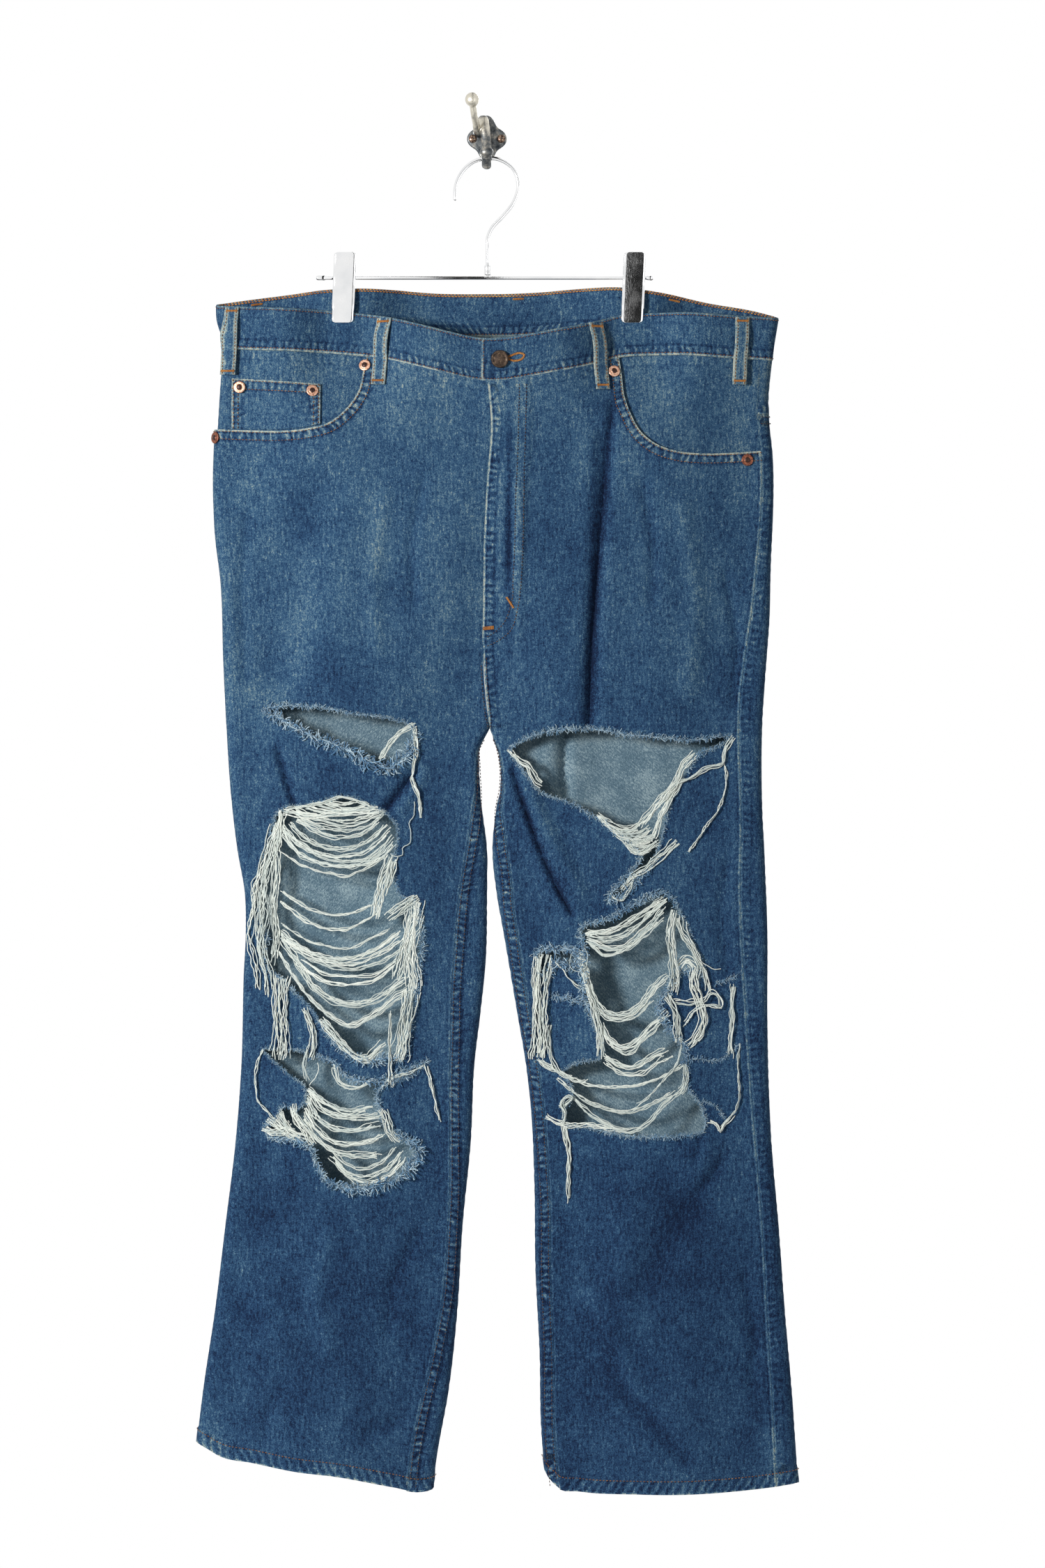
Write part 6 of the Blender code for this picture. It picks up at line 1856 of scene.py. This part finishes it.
# Each bundle: number of yarns, half width, lift off the cloth, then its run as across, down.
YARNS = {
    "right": [
        (4, 1.3, 1, [(196, 660), (172, 655), (155, 651), (138, 648), (124, 652), (108, 659)]),
        (8, 3.5, 0, [(199, 661), (202, 679), (205, 696)]),
        (3, 1.4, 0, [(186, 660), (165, 666), (140, 671), (118, 667), (102, 659)]),
        (3, 1.4, 0, [(186, 663), (165, 670), (140, 675), (116, 670), (99, 662)]),
        (3, 1.4, 0, [(186, 666), (165, 675), (140, 680), (114, 675), (98, 664)]),
        (5, 2.0, 0, [(198, 662), (175, 666), (150, 664), (125, 663), (100, 662)]),
        (5, 2.0, 0, [(176, 657), (158, 661), (140, 661), (120, 660), (106, 659)]),
        (5, 1.8, 0, [(165, 654), (148, 658), (131, 659), (114, 656)]),
        (4, 1.5, 0, [(156, 651), (140, 654), (126, 652)]),
        (4, 1.4, 0, [(185, 670), (163, 682), (141, 687), (121, 683), (103, 670)]),
        (4, 1.6, 0, [(192, 673), (178, 686), (163, 694), (139, 698), (114, 690), (94, 670)]),
        (4, 1.6, 0, [(196, 681), (171, 698), (144, 705), (120, 701), (92, 679)]),
        (6, 2.2, 0, [(201, 678), (192, 692), (180, 704), (155, 713), (121, 713), (101, 704), (90, 692)]),
        (4, 2.0, 0, [(200, 673), (186, 690), (169, 701), (145, 709), (114, 707), (91, 686)]),
        (2, 0.9, 0, [(205, 697), (192, 707), (173, 717), (152, 722), (139, 725), (118, 717), (94, 702)]),
        (3, 1.0, 0, [(201, 739), (182, 751), (163, 760), (141, 762), (121, 757), (106, 750)]),
        (3, 1.1, 0, [(201, 749), (186, 761), (172, 770), (141, 777), (104, 760)]),
        (2, 1.0, 0, [(201, 771), (186, 781), (160, 792), (135, 795), (118, 788), (92, 775)]),
        (5, 1.8, 0, [(203, 778), (177, 796), (155, 804), (131, 804), (107, 795), (84, 778)]),
        (4, 1.5, 0, [(198, 786), (169, 802), (148, 809), (126, 809), (101, 798), (79, 783)]),
        (3, 1.4, 0, [(194, 792), (172, 805), (152, 813), (128, 815), (104, 808), (75, 789)]),
        (3, 1.2, 0, [(181, 806), (157, 820), (135, 822), (107, 819), (84, 802)]),
        (4, 1.5, 0, [(186, 809), (160, 826), (135, 830), (111, 826), (84, 806)]),
        (7, 2.6, 0, [(201, 785), (186, 806), (164, 836), (152, 844), (131, 849), (111, 846), (87, 830),
                     (73, 822)]),
        (6, 2.2, 0, [(203, 798), (188, 822), (169, 846), (148, 863), (131, 870), (118, 864), (101, 853),
                     (84, 840), (70, 832)]),
        (8, 6.5, 2, [(204, 673), (210, 693), (218, 720), (223, 754), (224, 788), (216, 822), (214, 843)]),
        (6, 4, 2, [(207, 690), (205, 720), (208, 754), (205, 781), (208, 812)]),
        (4, 4, 3, [(214, 706), (219, 732), (213, 760), (219, 790), (216, 818)]),
        (2, 1.5, 3, [(219, 716), (228, 734), (227, 760), (230, 772)]),
        (9, 4.5, 2, [(92, 704), (101, 727), (106, 751), (109, 766)]),
        (5, 3, 2, [(90, 708), (92, 720), (101, 743)]),
        (8, 4.5, 1, [(67, 745), (83, 754), (97, 766)]),
        (10, 6, 1, [(68, 747), (73, 775), (75, 802), (72, 829), (73, 839)]),
        (8, 5, 1, [(67, 761), (77, 785), (82, 805), (87, 826)]),
        (10, 7, 4, [(199, 822), (201, 849), (200, 877), (202, 904)]),
        (6, 3.4, 4, [(177, 853), (171, 866), (169, 887), (174, 905)]),
        (3, 1.6, 2, [(175, 894), (178, 908), (174, 924)]),
        (10, 6.5, 4, [(73, 836), (79, 861), (84, 887), (87, 905)]),
        (3, 1.5, 3, [(94, 856), (95, 887), (94, 921), (93, 933)]),
        (9, 3.4, 1, [(162, 864), (148, 880), (131, 897), (116, 902), (104, 891), (96, 887)]),
        (6, 2, 0, [(69, 577), (84, 584), (94, 594), (104, 611)]),
        (5, 1.5, 2, [(71, 579), (69, 598), (72, 622), (69, 639), (65, 659), (64, 668)]),
        (1, 0, 1, [(71, 652), (71, 664), (74, 669), (74, 686), (77, 693), (82, 698), (82, 704), (86, 706),
                   (94, 703)]),
        (6, 2.2, 0, [(174, 932), (155, 946), (135, 953), (111, 949)]),
        (6, 2.2, 0, [(172, 936), (160, 951), (141, 958), (118, 959), (101, 958)]),
        (6, 2.2, 0, [(175, 941), (165, 959), (148, 970), (128, 972), (104, 966)]),
        (5, 2.0, 0, [(177, 951), (165, 972), (148, 983), (126, 985), (99, 976)]),
        (6, 2.2, 0, [(179, 959), (164, 982), (145, 993), (121, 997), (102, 996)]),
        (3, 1.4, 0, [(155, 987), (141, 1002), (128, 1009), (107, 1006), (88, 989)]),
        (4, 1.6, 0, [(152, 997), (135, 1014), (118, 1017), (97, 1009), (82, 992)]),
        (4, 1.6, 0, [(148, 1000), (131, 1019), (114, 1023), (97, 1017), (78, 996)]),
        (8, 4, 2, [(190, 947), (188, 957), (179, 968), (164, 987)]),
        (6, 3, 2, [(203, 953), (191, 972), (169, 983)]),
        (4, 3, 2, [(204, 958), (197, 968), (186, 975)]),
        (8, 3.4, 1, [(218, 970), (210, 974), (198, 973), (190, 967)]),
        (7, 3, 1, [(214, 962), (204, 969), (194, 975), (182, 980)]),
        (2, 0.6, 3, [(218, 894), (224, 908), (225, 929), (222, 945), (213, 955), (203, 965)]),
        (4, 1.6, 0, [(148, 908), (147, 917), (141, 928), (131, 931), (111, 925)]),
        (2, 1, 1, [(103, 931), (92, 921), (73, 915), (60, 908)]),
        (3, 1.2, 2, [(60, 908), (53, 931), (50, 948), (44, 967)]),
        (1, 0, 2, [(164, 904), (165, 917), (172, 929)]),
        (6, 4, 1, [(102, 951), (97, 962), (94, 975), (86, 985)]),
    ],
    "left": [
        (7, 3, 1, [(203, 605), (192, 615), (184, 631), (169, 651), (154, 671), (148, 679)]),
        (5, 2.6, 1, [(190, 629), (179, 648), (169, 669), (163, 688)]),
        (4, 1.4, 2, [(241, 589), (231, 606), (231, 614), (216, 618), (205, 625), (186, 635), (169, 649)]),
        (2, 0.5, 1, [(232, 615), (234, 625), (230, 648), (225, 662), (213, 677), (203, 693), (191, 710)]),
        (5, 2.6, 0, [(21, 601), (32, 611), (41, 617), (46, 628), (54, 637)]),
        (4, 1.6, 0, [(114, 669), (123, 680), (139, 682), (150, 679)]),
        (5, 2, 0, [(130, 686), (146, 688), (163, 685)]),
        (5, 2, 0, [(137, 693), (150, 694), (162, 693)]),
        (5, 2, 0, [(141, 699), (154, 702), (160, 699)]),
        (6, 2.4, 0, [(108, 664), (124, 676), (142, 678), (152, 672)]),
        (7, 2.6, 0, [(118, 674), (134, 685), (150, 684), (160, 678)]),
        (7, 2.6, 0, [(126, 681), (140, 692), (154, 690), (166, 684)]),
        (6, 2.4, 0, [(133, 689), (144, 700), (156, 698), (168, 690)]),
        (6, 3, 0, [(186, 691), (169, 705), (154, 717), (141, 725), (129, 742)]),
        (2, 1, 1, [(120, 742), (131, 748), (139, 737), (145, 727)]),
        (6, 2.4, 0, [(96, 780), (120, 777), (149, 762), (175, 746)]),
        (5, 2.2, 0, [(98, 783), (118, 786), (137, 780), (158, 763), (177, 747)]),
        (5, 2.0, 0, [(98, 786), (115, 794), (130, 794), (152, 779), (175, 755)]),
        (4, 1.6, 0, [(99, 789), (116, 802), (133, 797), (156, 780), (173, 765)]),
        (7, 2.8, 0, [(92, 801), (98, 820), (105, 843), (116, 857), (133, 860), (152, 848), (164, 833),
                     (179, 820)]),
        (4, 1.8, 0, [(101, 847), (111, 857), (124, 864), (145, 860), (164, 843)]),
        (6, 2.4, 0, [(111, 869), (120, 884), (133, 891), (145, 886), (160, 871), (177, 857)]),
        (3, 1.4, 0, [(115, 877), (124, 891), (137, 898), (152, 884), (171, 867)]),
        (5, 2.2, 0, [(115, 898), (126, 906), (141, 911), (160, 901), (177, 894)]),
        (3, 1.4, 0, [(115, 905), (130, 916), (149, 917), (167, 906), (181, 899)]),
        (7, 2.6, 2, [(92, 797), (94, 816), (98, 831), (105, 854), (111, 877), (111, 903)]),
        (1, 0, 2, [(96, 792), (99, 803), (92, 818), (82, 814), (82, 801)]),
        (2, 0.8, 2, [(65, 806), (75, 816), (84, 828), (94, 835)]),
        (14, 7.5, 4, [(56, 801), (53, 826), (52, 854), (52, 882), (50, 904)]),
        (3, 1.4, 1, [(50, 903), (58, 911), (73, 916), (92, 925), (99, 923)]),
        (4, 2, 2, [(62, 870), (62, 897), (69, 913), (88, 923)]),
        (8, 4, 3, [(183, 758), (179, 779), (181, 803), (183, 820), (181, 840)]),
        (5, 2.6, 3, [(186, 763), (190, 779), (200, 794), (205, 806), (211, 816), (215, 831), (217, 838)]),
        (1, 0, 3, [(194, 769), (198, 787), (205, 803), (217, 814), (228, 816)]),
        (7, 4, 3, [(186, 816), (196, 806), (202, 811), (201, 826), (207, 847), (211, 862), (205, 881),
                   (196, 891)]),
        (6, 3.4, 2, [(175, 840), (183, 857), (186, 873), (188, 889)]),
        (3, 2, 4, [(181, 847), (198, 848), (213, 845), (217, 838), (228, 847), (228, 852), (217, 850),
                   (201, 857), (192, 872)]),
        (2, 0.8, 1, [(190, 889), (186, 905), (175, 920), (158, 939), (141, 952)]),
        (5, 1.8, 2, [(240, 830), (239, 847), (239, 864), (237, 882), (239, 903)]),
        (3, 1.2, 0, [(52, 905), (64, 911), (81, 922), (99, 928), (130, 930), (152, 927), (175, 918),
                     (192, 908)]),
        (4, 1.4, 0, [(69, 922), (92, 940), (111, 949), (133, 954), (160, 947), (186, 932)]),
        (4, 1.6, 0, [(84, 940), (101, 956), (120, 967), (137, 973), (156, 966), (171, 949), (192, 932)]),
        (4, 1.6, 0, [(58, 959), (73, 966), (101, 967), (122, 971), (141, 973)]),
        (4, 1.4, 3, [(71, 950), (77, 947), (84, 940), (81, 939), (73, 947), (77, 956), (73, 967)]),
        (5, 1.8, 2, [(75, 967), (78, 983), (81, 1000), (80, 1020), (81, 1044)]),
        (2, 0.5, 2, [(246, 888), (245, 911), (246, 933), (244, 952), (235, 962), (226, 974)]),
        (4, 1.4, 2, [(215, 964), (224, 966), (227, 974), (232, 967), (241, 957)]),
        (5, 2.4, 0, [(192, 908), (194, 917), (193, 928), (188, 936)]),
    ],
}


def bared(name, seed):
    """Lines of every yarn, spread over its bundle's width, each with its own waver, slack and shade."""
    chance = random.Random(seed)
    runs, shades = [], []
    bundles = [(LEGS[label], *row) for label, rows in YARNS.items() for row in rows]
    for leg, number, half, lift, route in bundles:
        path, along = smooth_path(route, YARN_STEP)
        side = beside(np.gradient(path, axis=0))
        length = len(path) * YARN_STEP
        count = round(number * FULLNESS)
        for k in range(count):
            share = (2 * (k + 0.5) / count - 1) + chance.uniform(-0.6, 0.6) / count
            start, stop = chance.randint(0, 1), len(path) - chance.randint(0, 1 + len(path) // 14)
            waver = np.zeros(len(path))
            for wave in (13.0, 24.0, 44.0):
                height = chance.uniform(0.2, 0.75)
                waver += height * np.sin(2 * math.pi * (along * length / wave + chance.random()))
            sag = chance.uniform(-0.5, 1.6) * half * 0.5 * np.sin(math.pi * along)
            crossing = chance.uniform(-0.7, 0.7) * half * np.cos(math.pi * along)
            spots = path + side * (half * share + waver + crossing)[:, None]
            spots[:, 1] += sag
            rise = lift * chance.uniform(0.4, 1.1) + chance.uniform(0.3, 1.9)
            off = WALL / 2 + YARN_R * 0.5 + rise * np.sin(math.pi * along) ** 0.6
            places, _ = skin(leg, spots[start:stop, 0], spots[start:stop, 1], off[start:stop])
            runs.append(places)
            shades += [chance.random()] * len(places)
    return lines_mesh(name, runs, {"shade": shades})


yarn = Recipe("bared_yarn", {"Radius": YARN_R * MM, "Step": 3.2 * MM, "Seed": 3})
yarn_line = yarn.node("MeshToCurve", Mesh=yarn.given["Geometry"])
yarn_even = yarn.node("ResampleCurve", {"mode": "LENGTH"}, Curve=yarn_line, Length=yarn.given["Step"])
yarn_thick = yarn.node("SetCurveRadius", Curve=yarn_even, Radius=dice(yarn, 0.72, 1.25, 1))
yarn_ring = yarn.node("CurvePrimitiveCircle", Resolution=4, Radius=yarn.given["Radius"])
yarn.finish(yarn.node("CurveToMesh", Curve=yarn_thick, Profile_Curve=yarn_ring, Fill_Caps=True))

yarn_look = cotton_finish("white_weft_yarn", (178, 192, 192), (220, 227, 219), (243, 246, 237), 0.35)
bare = grown("bared_yarns", yarn, bared("bared_yarns", 20), yarn_look)
bare.data.shade_smooth()
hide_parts(*[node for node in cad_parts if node.startswith("yarns_")])
